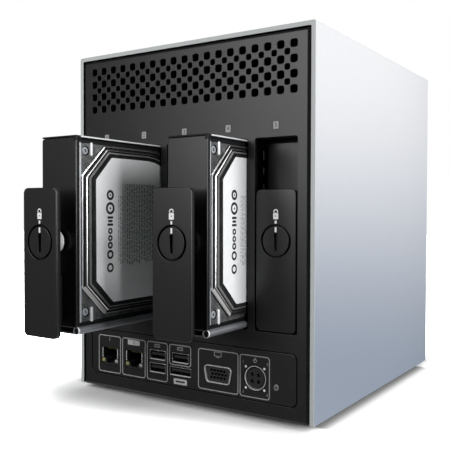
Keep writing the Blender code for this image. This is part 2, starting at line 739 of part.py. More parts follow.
def vga_outline(x, start, end, margin):
    """The rounded D of the display socket between two depths, grown by a margin."""
    half = VGA_NOSE_WIDTH / 2 + margin
    middle = PORT_SEAT + VGA_RISE
    rise = VGA_NOSE_HEIGHT / 2 + margin
    shape = bmesh.new()
    add_box(shape, (x - half, start, middle - rise), (x + half, end, middle + rise))
    for vertex in shape.verts:
        if vertex.co.z < middle:
            vertex.co.x -= math.copysign(VGA_NOSE_TAPER, vertex.co.x - x)
    round_edges(shape, edges_along(shape, AXIS_Y), VGA_NOSE_CORNER)
    return shape


def build_vga(casing, name, x):
    """A display socket: a D-shaped metal nose on a flange behind the panel."""
    flange_start = FASCIA_THICKNESS + CLEARANCE
    half = VGA_NOSE_WIDTH / 2 + VGA_FLANGE_OVERHANG
    top = PORT_SEAT + VGA_RISE + VGA_NOSE_HEIGHT / 2 + CLEARANCE
    flange = boxes(((x - half, flange_start, PORT_SEAT), (x + half, flange_start + VGA_LENGTH, top)))
    socket = add_piece(name, flange, SOCKET_METAL, casing)
    fuse(socket, "nose", vga_outline(x, -VGA_NOSE_PROUD, flange_start + OVERCUT, 0.0))
    cut(socket, "recess", vga_outline(x, -OVERCUT, VGA_RECESS - VGA_NOSE_PROUD, -VGA_SHELL))


def build_power_socket(casing, name, x):
    """A round power socket with a core inside its ring."""
    height = PORT_SEAT + POWER_RISE
    start = (x, PORT_NOSE_INSET, height)
    socket = add_piece(name, cylinder(start, AXIS_Y, POWER_LENGTH, POWER_DIAMETER), BLACK, casing)
    mouth = (x, -OVERCUT, height)
    depth = OVERCUT + PORT_NOSE_INSET + POWER_RECESS_DEPTH
    cut(socket, "recess", cylinder(mouth, AXIS_Y, depth, POWER_RECESS_DIAMETER))
    core_start = (x, 2 * PORT_NOSE_INSET, height)
    fuse(socket, "core", cylinder(core_start, AXIS_Y, POWER_LENGTH / 2, POWER_CORE_DIAMETER))
    half = POWER_FOOT_WIDTH / 2
    end = PORT_NOSE_INSET + POWER_LENGTH - CLEARANCE
    fuse(socket, "foot", boxes(((x - half, POWER_FOOT_START, PORT_SEAT), (x + half, end, height))))


def panel_hole(shape, x, half_width, low, high):
    """A hole in the port panel around a socket, with clearance."""
    half = half_width + CLEARANCE
    back = PORT_PANEL_THICKNESS + OVERCUT
    add_box(shape, (x - half, -OVERCUT, low - CLEARANCE), (x + half, back, high + CLEARANCE))


def build_port_panel(casing, centres):
    """The inset plate around the sockets, and the screw at its right end."""
    half = PORT_PANEL_WIDTH / 2
    top = PORT_PANEL_RISE + PORT_PANEL_HEIGHT
    low = (-half, 0, PORT_PANEL_RISE)
    plate = rounded_box(low, (half, PORT_PANEL_THICKNESS, top), AXIS_Y, PORT_PANEL_CORNER)
    panel = add_piece("port_panel", plate, CHARCOAL, casing)
    holes = bmesh.new()
    for name in ("lan_jack_1", "lan_jack_2"):
        panel_hole(holes, centres[name], LAN_WIDTH / 2, PORT_SEAT, PORT_SEAT + LAN_HEIGHT)
    for name in ("usb_stack", "usb_esata_stack"):
        panel_hole(holes, centres[name], USB_WIDTH / 2, PORT_SEAT, PORT_SEAT + USB_HEIGHT)
    cut(panel, "socket_holes", holes)
    back = PORT_PANEL_THICKNESS + OVERCUT
    cut(panel, "vga_hole", vga_outline(centres["vga_socket"], -OVERCUT, back, CLEARANCE))
    power_start = (centres["power_socket"], -OVERCUT, PORT_SEAT + POWER_RISE)
    through = OVERCUT + back
    cut(panel, "power_hole", cylinder(power_start, AXIS_Y, through, POWER_DIAMETER + 2 * CLEARANCE))
    screw_x = centres["port_panel_screw"]
    screw_height = PORT_SEAT + PANEL_SCREW_RISE
    hole_start = (screw_x, -OVERCUT, screw_height)
    bore = PANEL_SCREW_DIAMETER + 2 * CLEARANCE
    cut(panel, "screw_hole", cylinder(hole_start, AXIS_Y, through, bore, SMALL_SEGMENTS))
    start = (screw_x, PORT_NOSE_INSET, screw_height)
    length = PORT_PANEL_THICKNESS - PORT_NOSE_INSET
    head = cylinder(start, AXIS_Y, length, PANEL_SCREW_DIAMETER, SMALL_SEGMENTS)
    screw = add_piece("port_panel_screw", head, STEEL, casing)
    slot = PANEL_SCREW_SLOT_WIDTH / 2
    reach = PANEL_SCREW_DIAMETER
    slot_end = PORT_NOSE_INSET + PANEL_SCREW_SLOT_DEPTH
    slot_low = (screw_x - reach, -OVERCUT, screw_height - slot)
    cut(screw, "slot", boxes((slot_low, (screw_x + reach, slot_end, screw_height + slot))))


def build_ports(casing):
    """All the sockets along the bottom, and the panel around them."""
    centres = port_centres()
    for name in ("lan_jack_1", "lan_jack_2"):
        build_lan_jack(casing, name, centres[name])
    build_usb(casing, "usb_stack", centres["usb_stack"], USB_OPENING_HEIGHT)
    build_usb(casing, "usb_esata_stack", centres["usb_esata_stack"], ESATA_OPENING_HEIGHT)
    build_vga(casing, "vga_socket", centres["vga_socket"])
    build_power_socket(casing, "power_socket", centres["power_socket"])
    build_port_panel(casing, centres)


# Trays and drives

def build_tray_frame(tray, number):
    """The sheet steel tray: a front wall, an upper flange and a lower channel that carries the drive."""
    half = TRAY_WIDTH / 2
    low = (-half, FRAME_FRONT, TRAY_BOTTOM)
    shape = rounded_box(low, (half, DRIVE_END, TRAY_TOP), AXIS_Y, TRAY_CORNER, SHEET_SEGMENTS)
    frame = add_piece(f"tray_{number}_frame", shape, STEEL, tray)
    inner = half - SHEET
    wall_end = FRAME_FRONT + SHEET
    end = DRIVE_END + OVERCUT
    cut(frame, "hollow", boxes(((-inner, wall_end, TRAY_BOTTOM + SHEET), (inner, end, TRAY_TOP - SHEET))))
    side = half + OVERCUT
    window_low = (-side, wall_end, TRAY_BOTTOM + RAIL_HEIGHT)
    cut(frame, "side_windows", boxes((window_low, (side, end, TRAY_TOP - TOP_LIP))))
    mouth_low = (-inner, FRAME_FRONT - OVERCUT, TRAY_BOTTOM + SHEET)
    mouth_high = (inner, wall_end + CLEARANCE, TRAY_BOTTOM + SHEET + RAIL_MOUTH)
    cut(frame, "rail_mouth", boxes((mouth_low, mouth_high)))
    pads = bmesh.new()
    pad_step = (DRIVE_LENGTH - 2 * PAD_END_INSET) / (PAD_COUNT - 1)
    for pad in range(PAD_COUNT):
        depth = DRIVE_FRONT + PAD_END_INSET + pad * pad_step
        pad_low = (-PAD_HALF_WIDTH, depth - PAD_LENGTH / 2, TRAY_BOTTOM + SHEET / 2)
        add_box(pads, pad_low, (PAD_HALF_WIDTH, depth + PAD_LENGTH / 2, DRIVE_BOTTOM - CLEARANCE))
    fuse(frame, "pads", pads)


def build_tray_face(tray, number):
    """The plate that closes the bay behind the handle."""
    half = TRAY_WIDTH / 2
    low = (-half, FACE_SETBACK, TRAY_BOTTOM + FACE_BOTTOM_INSET)
    high = (half, FACE_SETBACK + FACE_THICKNESS, DRIVE_TOP)
    plate = rounded_box(low, high, AXIS_Y, FACE_CORNER, SHEET_SEGMENTS)
    face = add_piece(f"tray_{number}_face", plate, CHARCOAL, tray)
    start = (0, FACE_SETBACK - OVERCUT, LOCK_HEIGHT)
    bore = LOCK_BARREL_DIAMETER + 2 * CLEARANCE
    cut(face, "lock_hole", cylinder(start, AXIS_Y, FACE_THICKNESS + 2 * OVERCUT, bore))


def build_handle(tray, number):
    """The pull plate in front of the face, on a web, with a hole for the lock."""
    half = TRAY_WIDTH / 2 - HANDLE_SIDE_INSET
    low = (-half, 0, HANDLE_BOTTOM)
    high = (half, HANDLE_THICKNESS, HANDLE_BOTTOM + HANDLE_HEIGHT)
    shape = rounded_box(low, high, AXIS_Y, HANDLE_CORNER)
    middle = HANDLE_THICKNESS / 2
    rim = [edge for edge in shape.edges if max(vertex.co.y for vertex in edge.verts) < middle]
    round_edges(shape, rim, HANDLE_EDGE, CHAMFER_SEGMENTS)
    handle = add_piece(f"tray_{number}_handle", shape, CHARCOAL, tray)
    web = HANDLE_WEB_WIDTH / 2
    web_low = TRAY_BOTTOM + HANDLE_WEB_RISE
    web_end = FACE_SETBACK - CLEARANCE
    fuse(handle, "web", boxes(((-web, middle, web_low), (web, web_end, web_low + HANDLE_WEB_HEIGHT))))
    bore = LOCK_DIAMETER + 2 * CLEARANCE
    hole = cylinder((0, -OVERCUT, LOCK_HEIGHT), AXIS_Y, HANDLE_THICKNESS + 2 * OVERCUT, bore)
    cut(handle, "lock_hole", hole)


def build_lock(tray, number):
    """The turning lock: a slotted disc, its barrel, and a tongue that swings behind the bay's edge."""
    disc = cylinder((0, 0, 0), AXIS_Y, HANDLE_THICKNESS, LOCK_DIAMETER)
    lock = add_piece(f"tray_{number}_lock", disc, LOCK_METAL, tray, (0, 0, LOCK_HEIGHT))
    barrel_start = HANDLE_THICKNESS / 2
    barrel_end = FACE_SETBACK + FACE_THICKNESS
    barrel = cylinder((0, barrel_start, 0), AXIS_Y, barrel_end - barrel_start, LOCK_BARREL_DIAMETER)
    fuse(lock, "barrel", barrel)
    side = LOCK_TONGUE_WIDTH / 2
    tongue_start = HANDLE_THICKNESS + LOCK_TONGUE_GAP
    tongue_end = tongue_start + LOCK_TONGUE_THICKNESS
    fuse(lock, "tongue", boxes(((-side, tongue_start, -LOCK_REACH), (side, tongue_end, 0))))
    slot = LOCK_SLOT_WIDTH / 2
    reach = LOCK_SLOT_LENGTH / 2
    cut(lock, "slot", boxes(((-slot, -OVERCUT, -reach), (slot, LOCK_SLOT_DEPTH, reach))))


def build_drive(tray, number):
    """A hard drive on its side: a casting, a lid with cut corners, and a circuit board."""
    right = DRIVE_THICKNESS / 2
    lid_start = right - COVER_THICKNESS
    board_start = -right
    board_end = board_start + DRIVE_BOARD_THICKNESS
    low = (board_end + CLEARANCE, DRIVE_FRONT, DRIVE_BOTTOM)
    high = (lid_start - CLEARANCE, DRIVE_END, DRIVE_TOP)
    casting = rounded_box(low, high, AXIS_X, DRIVE_CORNER, SHEET_SEGMENTS)
    add_piece(f"drive_{number}_body", casting, CAST_METAL, tray)
    lid_low = (lid_start, DRIVE_FRONT + COVER_MARGIN, DRIVE_BOTTOM + COVER_MARGIN)
    lid_high = (right, DRIVE_END - COVER_MARGIN, DRIVE_TOP - COVER_MARGIN)
    lid = rounded_box(lid_low, lid_high, AXIS_X, COVER_CHAMFER, CHAMFER_SEGMENTS)
    add_piece(f"drive_{number}_cover", lid, LID_METAL, tray)
    inset = DRIVE_BOARD_MARGIN
    board_low = (board_start, DRIVE_FRONT + inset, DRIVE_BOTTOM + inset)
    board_high = (board_end, DRIVE_END - inset, DRIVE_TOP - inset)
    add_piece(f"drive_{number}_board", boxes((board_low, board_high)), BOARD_GREEN, tray)


def build_trays():
    """Five trays with their drives, each under an empty that slides along the bay."""
    for bay in range(BAY_COUNT):
        number = bay + 1
        location = (bay_centre(bay), REAR_Y - TRAY_PULLS[bay], FOOT_HEIGHT)
        tray = add_empty(f"tray_{number}_slide", location)
        build_tray_frame(tray, number)
        build_tray_face(tray, number)
        build_handle(tray, number)
        build_lock(tray, number)
        build_drive(tray, number)


def build_unit():
    """The whole unit."""
    casing = add_empty("casing", (0, REAR_Y, FOOT_HEIGHT))
    build_sleeve(casing)
    build_fascia(casing)
    build_base(casing)
    build_feet(casing)
    build_front(casing)
    build_cage(casing)
    build_backplane(casing)
    build_main_board(casing)
    build_fan(casing)
    build_ports(casing)
    build_trays()


build_unit()
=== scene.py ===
"""Looks of a desktop network storage unit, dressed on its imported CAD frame."""

import math
import random

import bmesh
import bpy
from mathutils import Matrix, Vector, geometry


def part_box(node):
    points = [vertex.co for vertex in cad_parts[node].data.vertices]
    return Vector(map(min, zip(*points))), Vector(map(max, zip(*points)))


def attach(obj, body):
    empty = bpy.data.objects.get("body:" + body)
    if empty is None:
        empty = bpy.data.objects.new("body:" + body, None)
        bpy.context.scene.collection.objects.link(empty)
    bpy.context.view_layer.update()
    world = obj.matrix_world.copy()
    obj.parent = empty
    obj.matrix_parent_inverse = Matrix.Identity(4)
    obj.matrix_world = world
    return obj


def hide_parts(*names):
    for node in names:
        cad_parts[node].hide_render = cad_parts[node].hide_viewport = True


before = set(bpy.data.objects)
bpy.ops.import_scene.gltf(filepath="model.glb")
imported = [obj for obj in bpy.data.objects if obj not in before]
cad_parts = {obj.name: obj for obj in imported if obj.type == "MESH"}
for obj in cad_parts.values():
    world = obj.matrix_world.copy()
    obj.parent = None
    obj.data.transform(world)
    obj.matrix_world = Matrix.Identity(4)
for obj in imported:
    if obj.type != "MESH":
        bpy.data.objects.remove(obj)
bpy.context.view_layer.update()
MM = 0.001

# Camera, fitted to the photograph's edges
FOCAL_PIXELS = 676.9
FRAME_PIXELS = 450
SENSOR_WIDTH = 36.0
CAMERA_YAW = math.radians(33.45)
CAMERA_PITCH = math.radians(-1.20)
CAMERA_ROLL = math.radians(0.13)
CAMERA_PLACE = Vector((0.2445, -0.3816, 0.1188))


# Places taken from the frame, in millimetres

def span(node):
    """A node's lowest and highest corners in millimetres."""
    low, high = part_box(node)
    return low / MM, high / MM


def middle(node):
    """The middle of a node's box in millimetres."""
    low, high = span(node)
    return (low + high) / 2


SLEEVE_LOW, SLEEVE_HIGH = span("outer_sleeve")
REAR = SLEEVE_LOW.y
BASE = SLEEVE_LOW.z
HALF_WIDTH = SLEEVE_HIGH.x
BODY_DEPTH = SLEEVE_HIGH.y - REAR
BODY_HEIGHT = SLEEVE_HIGH.z - BASE
UNIT = Vector((0, REAR, BASE))
BAYS = range(1, 6)


def tray_place(bay):
    """A tray's own origin: its middle line, the front of its handle and the casing's bottom."""
    low, high = span(f"tray_{bay}_handle")
    return Vector(((low.x + high.x) / 2, low.y, BASE))


# Sizes in millimetres: x from the middle, depth from the rear plane, height from the casing's bottom
SLEEVE_WALL = 2.6
SLEEVE_CORNER = 1.2
SLEEVE_RIM = 0.2
SLEEVE_FOOT = 0.3
TOLERANCE = 0.01
FASCIA_HALF = 83.1
FASCIA_TOP = 213.3
FASCIA_THICKNESS = 3.0
FASCIA_BEVEL = (1.4, 0.9)
FRONT_RIM = 0.5
FRONT_THICKNESS = 6.0
BAY_PITCH = 31.35
BAY_HALF = 13.4
BAY_LOW = 48.1
BAY_HIGH = 156.1
BAY_CORNER = 1.4
VENT_COLUMNS = 19
VENT_ROWS = 4
VENT_PITCH = 8.18
VENT_TOP = 206.0
VENT_LARGE = 4.4
VENT_SMALL = 3.3
VENT_CORNER_SHARE = 0.3
NUMBER_HEIGHT = 162.6
PANEL_HALF = 76.0
PANEL_LOW = 8.8
PANEL_HIGH = 37.5
PANEL_CORNER = 3.5
PANEL_THICKNESS = 1.8
PANEL_GROOVE = 0.45
PRINT_DEPTH = 0.05
PRINT_LINE = 0.6

HANDLE_HALF = 12.55
HANDLE_LOW = 48.8
HANDLE_HIGH = 127.4
HANDLE_CORNER = 3.0
HANDLE_BACK = 3.0
HANDLE_FRONT = 0.1
HANDLE_RIM = 0.5
LOCK_LEDGE = 1.9
WEB_HALF = 3.0
WEB_LOW = 55.0
WEB_HIGH = 81.0
LOCK_HEIGHT = 98.9
LOCK_RADIUS = 8.25
LOCK_GAP = 1.15
LOCK_BACK = 7.6
LOCK_NECK = 4.2
COLLAR_RADIUS = 6.2
COLLAR_FRONT = 8.8
COLLAR_DEPTH = 10.9
COLLAR_THICKNESS = 0.5
BARREL_RADIUS = 5.0
TONGUE_HALF = 2
TONGUE_REACH = 14.2
TONGUE_FRONT = 3.9
TONGUE_BACK = 5.9
FACE_HALF = 13.0
FACE_FRONT = 13.5
FACE_BACK = 14.9
FACE_LOW = 52.9
FACE_HIGH = 154.4
FRAME_FRONT = 15.2
TRAY_END = 163.3
TRAY_LOW = 49.0
TRAY_HIGH = 155.5
SHEET = 0.8
RAIL_RADIUS = 2.1
RAIL_SHEET = 0.4
RAIL_HIGHLIGHT_RING = 1.0
LIP_LOW = 154.6
CAP_FRONT = 13.6
CAP_LOW = 154.6
KNOB_LOW = 152.4
KNOB_HALF = 0.8
CAP_BACK = 17.2
PAD_HALF = 4
PAD_FIRST = 22
PAD_PITCH = 51.5

DRIVE_FRONT = 16.3
DRIVE_LENGTH = 147.0
DRIVE_LOW = 52.8
DRIVE_HIGH = 154.4
CASTING_LEFT = -11.55
CASTING_RIGHT = 11.65
LID_BACK = 11.95
LID_FACE = 12.65
SCREW_INSET = 6.1
RIB_INSET = 10.1
RIB_HALF = 1.15
RIB_SPANS = ((145.0, 152.6), (54.6, 63.0))
WELL_HEIGHTS = (147.8, 60.4)
WELL_RADIUS = 2.6
WELL_DEPTH = 1.6

# Springs on the cage's walls
WALL_HALF = 14.9
SPRING_DEPTH = 12.4
SPRING_HALF = 0.4
SPRING_RISE = 0.25
SPRING_SPANS = ((145.0, 150.0), (136.5, 140.5), (126.0, 131.0))

RIM_STEPS = 4
SMOOTH_ANGLE = math.radians(34)
REAR_FACING = Matrix.Identity(3)
RIGHT_FACING = Matrix(((0, -1, 0), (1, 0, 0), (0, 0, 1)))
LEFT_FACING = Matrix(((0, 1, 0), (-1, 0, 0), (0, 0, 1)))
FRONT_FACING = Matrix(((-1, 0, 0), (0, -1, 0), (0, 0, 1)))
DOWN_FACING = Matrix(((1, 0, 0), (0, 0, -1), (0, 1, 0)))


# Outlines: each is a function of how far the outline has grown

def rounded(corners, steps=4):
    """A closed outline through (u, v, radius) corners, counter-clockwise, with rounded corners."""
    points = [Vector(corner[:2]) for corner in corners]

    def outline(grow=0.0):
        result = []
        for i, (u, v, radius) in enumerate(corners):
            before = (points[i] - points[i - 1]).normalized()
            after = (points[(i + 1) % len(points)] - points[i]).normalized()
            turn = math.atan2(before.cross(after), before.dot(after))
            normals = Vector((before.y, -before.x)) + Vector((after.y, -after.x))
            corner = points[i] + normals * (grow / (1 + before.dot(after)))
            bend = max(radius + grow * math.copysign(1, turn), 0.03)
            start = corner - before * (bend * math.tan(abs(turn) / 2))
            inward = Vector((-before.y, before.x)) * math.copysign(bend, turn)
            for step in range(steps + 1):
                swing = Matrix.Rotation(turn * step / steps, 2)
                result.append(tuple(start + inward - swing @ inward))
        return result

    return outline


def block(u, half, low, high, radius=0.3, steps=4):
    """A rounded rectangle around an upright middle line."""
    corners = ((u - half, low), (u + half, low), (u + half, high), (u - half, high))
    return rounded([(*corner, radius) for corner in corners], steps)


def square(u, v, half_width, half_height, radius=0.3, steps=4):
    """A rounded rectangle around a middle."""
    return block(u, half_width, v - half_height, v + half_height, radius, steps)


def circle(u, v, radius, steps=40):
    """A circle."""
    def outline(grow=0.0):
        reach = radius + grow
        turns = [2 * math.pi * step / steps for step in range(steps)]
        return [(u + reach * math.cos(turn), v + reach * math.sin(turn)) for turn in turns]

    return outline


def mirrored(half, steps=4):
    """A rounded outline from the corners of its right half, which go counter-clockwise."""
    return rounded(half + [(-u, v, radius) for u, v, radius in reversed(half)], steps)


def grown(outline, by):
    """An outline pushed out all round, or drawn in where the distance is negative."""
    return lambda grow=0.0: outline(grow + by)


def between(first, second, share):
    """Corners on the way from one list of corners to another."""
    return [tuple(a + (b - a) * share for a, b in zip(p, q)) for p, q in zip(first, second)]


# Meshes

def add_object(name, data):
    """A new object in the scene."""
    thing = bpy.data.objects.new(name, data)
    bpy.context.scene.collection.objects.link(thing)
    return thing


def rim_levels(front, back, rim, back_rim):
    """Depths and growths of a plate's side. A rim is round, or it is a bevel's width and depth."""
    turns = [math.pi / 2 * step / RIM_STEPS for step in range(RIM_STEPS + 1)]
    curve = [(1 - math.cos(turn), 1 - math.sin(turn)) for turn in turns]
    if isinstance(rim, tuple):
        levels = [(front, -rim[0]), (front + rim[1], 0.0)]
    else:
        levels = [(front + rim * depth, -rim * inset) for depth, inset in (curve if rim else curve[:1])]
    ending = curve[::-1] if back_rim else curve[:1]
    return levels + [(back - back_rim * depth, -back_rim * inset) for depth, inset in ending]


class Shape:
    """Faces gathered in millimetres. Outlines lie across and up, and depth goes into the surface."""

    def __init__(self, material, turn=REAR_FACING, shift=(0, 0, 0)):
        self.materials = []
        self.points = []
        self.flat = []
        self.faces = []
        self.turn = turn
        self.shift = Vector(shift)
        self.use(material)

    def number(self, material):
        """A material's number in the list, where a new one is added."""
        if material not in self.materials:
            self.materials.append(material)
        return self.materials.index(material)

    def use(self, material):
        """Gives the faces that follow a material, and hands back the shape."""
        self.paint = self.number(material)
        return self

    def face(self, numbers, curved=True):
        """Adds one face."""
        self.faces.append((tuple(numbers), self.paint, curved))

    def repaint(self, material, test):
        """Gives a material to those faces so far whose middle passes a test."""
        for i, (numbers, paint, curved) in enumerate(self.faces):
            middle_point = sum((self.points[number] for number in numbers), Vector()) / len(numbers)
            if test(middle_point):
                self.faces[i] = (numbers, self.number(material), curved)

    def ring(self, outline, depth):
        """Adds a ring of points at a depth and gives their numbers."""
        first = len(self.points)
        for u, v in outline:
            self.flat.append(Vector((u, v)))
            self.points.append(self.turn @ Vector((u, depth, v)) + self.shift)
        return list(range(first, len(self.points)))

    def band(self, near, far):
        """Joins two rings of one count."""
        for i in range(len(near)):
            self.face((near[i - 1], far[i - 1], far[i], near[i]))

    def fill(self, rings):
        """Fills the area inside the first ring and outside the others."""
        numbers = [number for ring in rings for number in ring]
        order = {number: i for i, number in enumerate(numbers)}
        borders = [[order[number] for number in ring] for ring in rings]
        flat = [self.flat[number] for number in numbers]
        result = geometry.delaunay_2d_cdt(flat, [], borders, 1, 1e-6)
        origins = result[3]
        for triangle, owners in zip(result[2], result[5]):
            if owners == [0]:
                self.face([numbers[origins[corner][0]] for corner in triangle], False)

    def plate(self, outer, holes, front, back, rim=0.2, hole_rim=None, back_rim=0.0):
        """A plate between two depths with holes through it and rounded rims."""
        hole_rim = rim if hole_rim is None else hole_rim
        outlines = [(outer, 1, rim)] + [(hole, -1, hole_rim) for hole in holes]
        fronts = []
        backs = []
        for outline, sign, edge in outlines:
            levels = rim_levels(front, back, edge, back_rim)
            rings = [self.ring(outline(sign * grow), depth) for depth, grow in levels]
            self.bands(rings)
            fronts.append(rings[0])
            backs.append(rings[-1])
        self.fill(fronts)
        self.fill(backs)

    def bands(self, rings):
        """Joins a run of rings."""
        for near, far in zip(rings, rings[1:]):
            self.band(near, far)

    def turned(self, u, v, profile, steps):
        """Rings of points at (radius, depth) pairs round an axis."""
        return [self.ring(circle(u, v, radius, steps)(), depth) for radius, depth in profile]

    def lathe(self, u, v, profile, steps=40):
        """A turned shape from (radius, depth) points, closed at both ends."""
        rings = self.turned(u, v, profile, steps)
        self.bands(rings)
        self.fill(rings[:1])
        self.fill(rings[-1:])

    def tube(self, u, v, profile, steps=40):
        """A turned ring from a closed run of (radius, depth) points."""
        rings = self.turned(u, v, profile, steps)
        self.bands(rings + rings[:1])

    def words(self, text, size, u, v, front, back):
        """Plain characters standing between two depths, around a middle."""
        curve = bpy.data.curves.new("characters", "FONT")
        curve.body = text
        curve.size = size
        curve.align_x = "CENTER"
        curve.align_y = "CENTER"
        curve.extrude = (back - front) / 2
        carrier = add_object("characters", curve)
        depsgraph = bpy.context.evaluated_depsgraph_get()
        mesh = bpy.data.meshes.new_from_object(carrier.evaluated_get(depsgraph))
        first = len(self.points)
        for vertex in mesh.vertices:
            x, y, z = vertex.co
            self.ring([(u + x, v + y)], (front + back) / 2 - z)
        for polygon in mesh.polygons:
            self.face([first + number for number in polygon.vertices], False)
        bpy.data.objects.remove(carrier)
        bpy.data.curves.remove(curve)
        bpy.data.meshes.remove(mesh)

    def mesh(self, name):
        """The finished mesh in metres."""
        form = bmesh.new()
        corners = [form.verts.new(point * MM) for point in self.points]
        for numbers, paint, curved in self.faces:
            face = form.faces.new([corners[number] for number in numbers])
            face.material_index = paint
            face.smooth = curved
        bmesh.ops.remove_doubles(form, verts=form.verts, dist=1e-7)
        bmesh.ops.recalc_face_normals(form, faces=form.faces)
        mesh = bpy.data.meshes.new(name)
        curved = [face.smooth for face in form.faces]
        form.to_mesh(mesh)
        form.free()
        mesh.set_sharp_from_angle(angle=SMOOTH_ANGLE)
        mesh.polygons.foreach_set("use_smooth", curved)
        for material in self.materials:
            mesh.materials.append(material)
        return mesh


def place(name, mesh, at, body, slot, *nodes):
    """Puts a mesh in the scene at a point in millimetres, on a body, in place of CAD nodes."""
    piece = add_object(name, mesh)
    piece.location = Vector(at) * MM
    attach(piece, body)
    if nodes:
        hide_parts(*nodes)
    return piece


def on_unit(name, shape, slot, *nodes, body="chassis"):
    """A piece of the casing."""
    return place(name, shape.mesh(name), UNIT, body, slot, *nodes)


def on_trays(name, shape, slot, node=None, carrier="tray"):
    """A piece that every tray has."""
    first = shape.mesh(name)
    for bay in BAYS:
        nodes = [node.format(bay)] if node else []
        place(f"{name}_{bay}", first.copy(), tray_place(bay), f"{carrier}_{bay}", slot, *nodes)
    bpy.data.meshes.remove(first)


# Materials

# The fine noise gives the relief, and the broad one, with larger grains, the change of polish.
FINE_DETAIL = 3
BROAD_DETAIL = 4
BROAD_SHARE = 9
MOTTLE_RANGE = (0.12, 0.40)
POLISH_RANGE = (0.3, 0.7)


def feed(tree, node, inputs):
    """Sets a node's inputs to constants, or links them to the outputs of other nodes."""
    for name, source in inputs.items():
        if isinstance(source, bpy.types.NodeSocket):
            tree.links.new(source, node.inputs[name])
        else:
            node.inputs[name].default_value = source


def add_node(tree, kind, inputs=None, **settings):
    """A new shader node with its settings and inputs."""
    node = tree.nodes.new("ShaderNode" + kind)
    for name, value in settings.items():
        setattr(node, name, value)
    feed(tree, node, inputs or {})
    return node


def ramp(tree, source, start, end, first=0.0, last=1.0, kind="SMOOTHSTEP"):
    """A value that goes from first to last while its source goes from start to end."""
    inputs = {"Value": source, "From Min": start, "From Max": end, "To Min": first, "To Max": last}
    return add_node(tree, "MapRange", inputs, interpolation_type=kind).outputs["Result"]


def product(tree, first, second):
    """Two values multiplied."""
    return add_node(tree, "Math", {0: first, 1: second}, operation="MULTIPLY").outputs["Value"]


def mix(tree, share, first, second, kind="RGBA"):
    """A colour or a value between two others."""
    inputs = {"Factor": share, "A": first, "B": second}
    return add_node(tree, "Mix", inputs, data_type=kind).outputs["Result"]


def vector_math(tree, operation, *operands):
    """The result of an operation on vectors. A length is a value."""
    node = add_node(tree, "VectorMath", dict(enumerate(operands)), operation=operation)
    return node.outputs["Value" if operation == "LENGTH" else "Vector"]


def surface(name, colour, roughness, metallic=0.0, grain=0.3, relief=0.001, mottle=0.12, spread=0.06,
            stretch=(1, 1, 1), sockets=None):
    """A material whose tone, roughness and relief vary with noise; grain and relief are in millimetres."""
    material = bpy.data.materials.new(name)
    material.use_nodes = True
    tree = material.node_tree
    coordinates = add_node(tree, "TexCoord").outputs["Object"]
    point = add_node(tree, "Mapping", {"Vector": coordinates, "Scale": stretch}).outputs["Vector"]
    noises = []
    for share, detail in ((1, FINE_DETAIL), (BROAD_SHARE, BROAD_DETAIL)):
        inputs = {"Vector": point, "Scale": 1 / (grain * MM * share), "Detail": detail}
        noises.append(add_node(tree, "TexNoise", inputs).outputs["Fac"])
    fine, broad = noises
    dark, light = [(*[channel * (1 + sign * mottle) for channel in colour], 1) for sign in (-1, 1)]
    contrast = ramp(tree, product(tree, fine, broad), *MOTTLE_RANGE, kind="LINEAR")
    bump = add_node(tree, "Bump", {"Height": fine, "Distance": relief * MM})
    feed(tree, tree.nodes["Principled BSDF"], {
        "Base Color": mix(tree, contrast, dark, light),
        "Metallic": metallic,
        "Roughness": ramp(tree, broad, *POLISH_RANGE, roughness - spread, roughness + spread, "LINEAR"),
        "Normal": bump.outputs["Normal"],
        **(sockets or {}),
    })
    return material


DULL = {"Specular IOR Level": 0.2}
SATIN_COAT = {"Specular IOR Level": 0.43}
FROSTED = {"Transmission Weight": 0.3}
ALUMINIUM = surface("satin_aluminium", (0.95, 0.96, 0.985), 0.29, 1.0, grain=0.25, relief=0.0004,
                    mottle=0.02, spread=0.006)
CUT_EDGE = surface("cut_edge", (0.46, 0.48, 0.48), 0.5, grain=0.25, relief=0.002, mottle=0.03, sockets=DULL)
CHARCOAL = surface("textured_charcoal", (0.008, 0.008, 0.0081), 0.36, grain=0.7, relief=0.06, mottle=0.2,
                   spread=0.01, sockets=SATIN_COAT)
HANDLE_PLASTIC = surface("satin_charcoal", (0.007, 0.007, 0.0071), 0.31, mottle=0.08, spread=0.01)
BLACK = surface("matt_black", (0.004, 0.004, 0.0042), 0.6, grain=0.4, relief=0.008)
BLACK_PAINT = surface("black_paint", (0.005, 0.005, 0.0054), 0.55, grain=0.5, relief=0.006, sockets=DULL)
STEEL = surface("rolled_steel", (0.24, 0.25, 0.27), 0.36, 0.6, grain=0.2, relief=0.002, mottle=0.05,
                stretch=(1, 0.08, 1))
# Bright polished steel, used only on the lid's rising slopes as painted highlight
POLISHED_HIGHLIGHT = surface("polished_steel_highlight", (0.72, 0.72, 0.72), 0.30, 0.95, relief=0.0004, mottle=0.03, spread=0.03)
CASTING = surface("cast_metal", (0.15, 0.153, 0.153), 0.42, 0.75, grain=0.7, relief=0.08, mottle=0.6)
MACHINED = surface("machined_edge", (0.28, 0.30, 0.32), 0.45, 0.1, grain=0.2, relief=0.002, mottle=0.06)
ZINC = surface("zinc_plate", (0.72, 0.73, 0.74), 0.4, 0.25, relief=0.002, mottle=0.04)
SATIN = surface("satin_lid", (0.26, 0.26, 0.26), 0.4, 0.6, relief=0.002, mottle=0.06)
# Warm grey, used on the lids' lower crest as a painted reflection of the floor
CREST_REFLECTION = surface("crest_painted_reflection", (0.44, 0.43, 0.41), 0.42, 0.3, relief=0.002, mottle=0.06)
LID = surface("lid_metal", (0.12, 0.12, 0.123), 0.34, 0.95, relief=0.003, mottle=0.1)
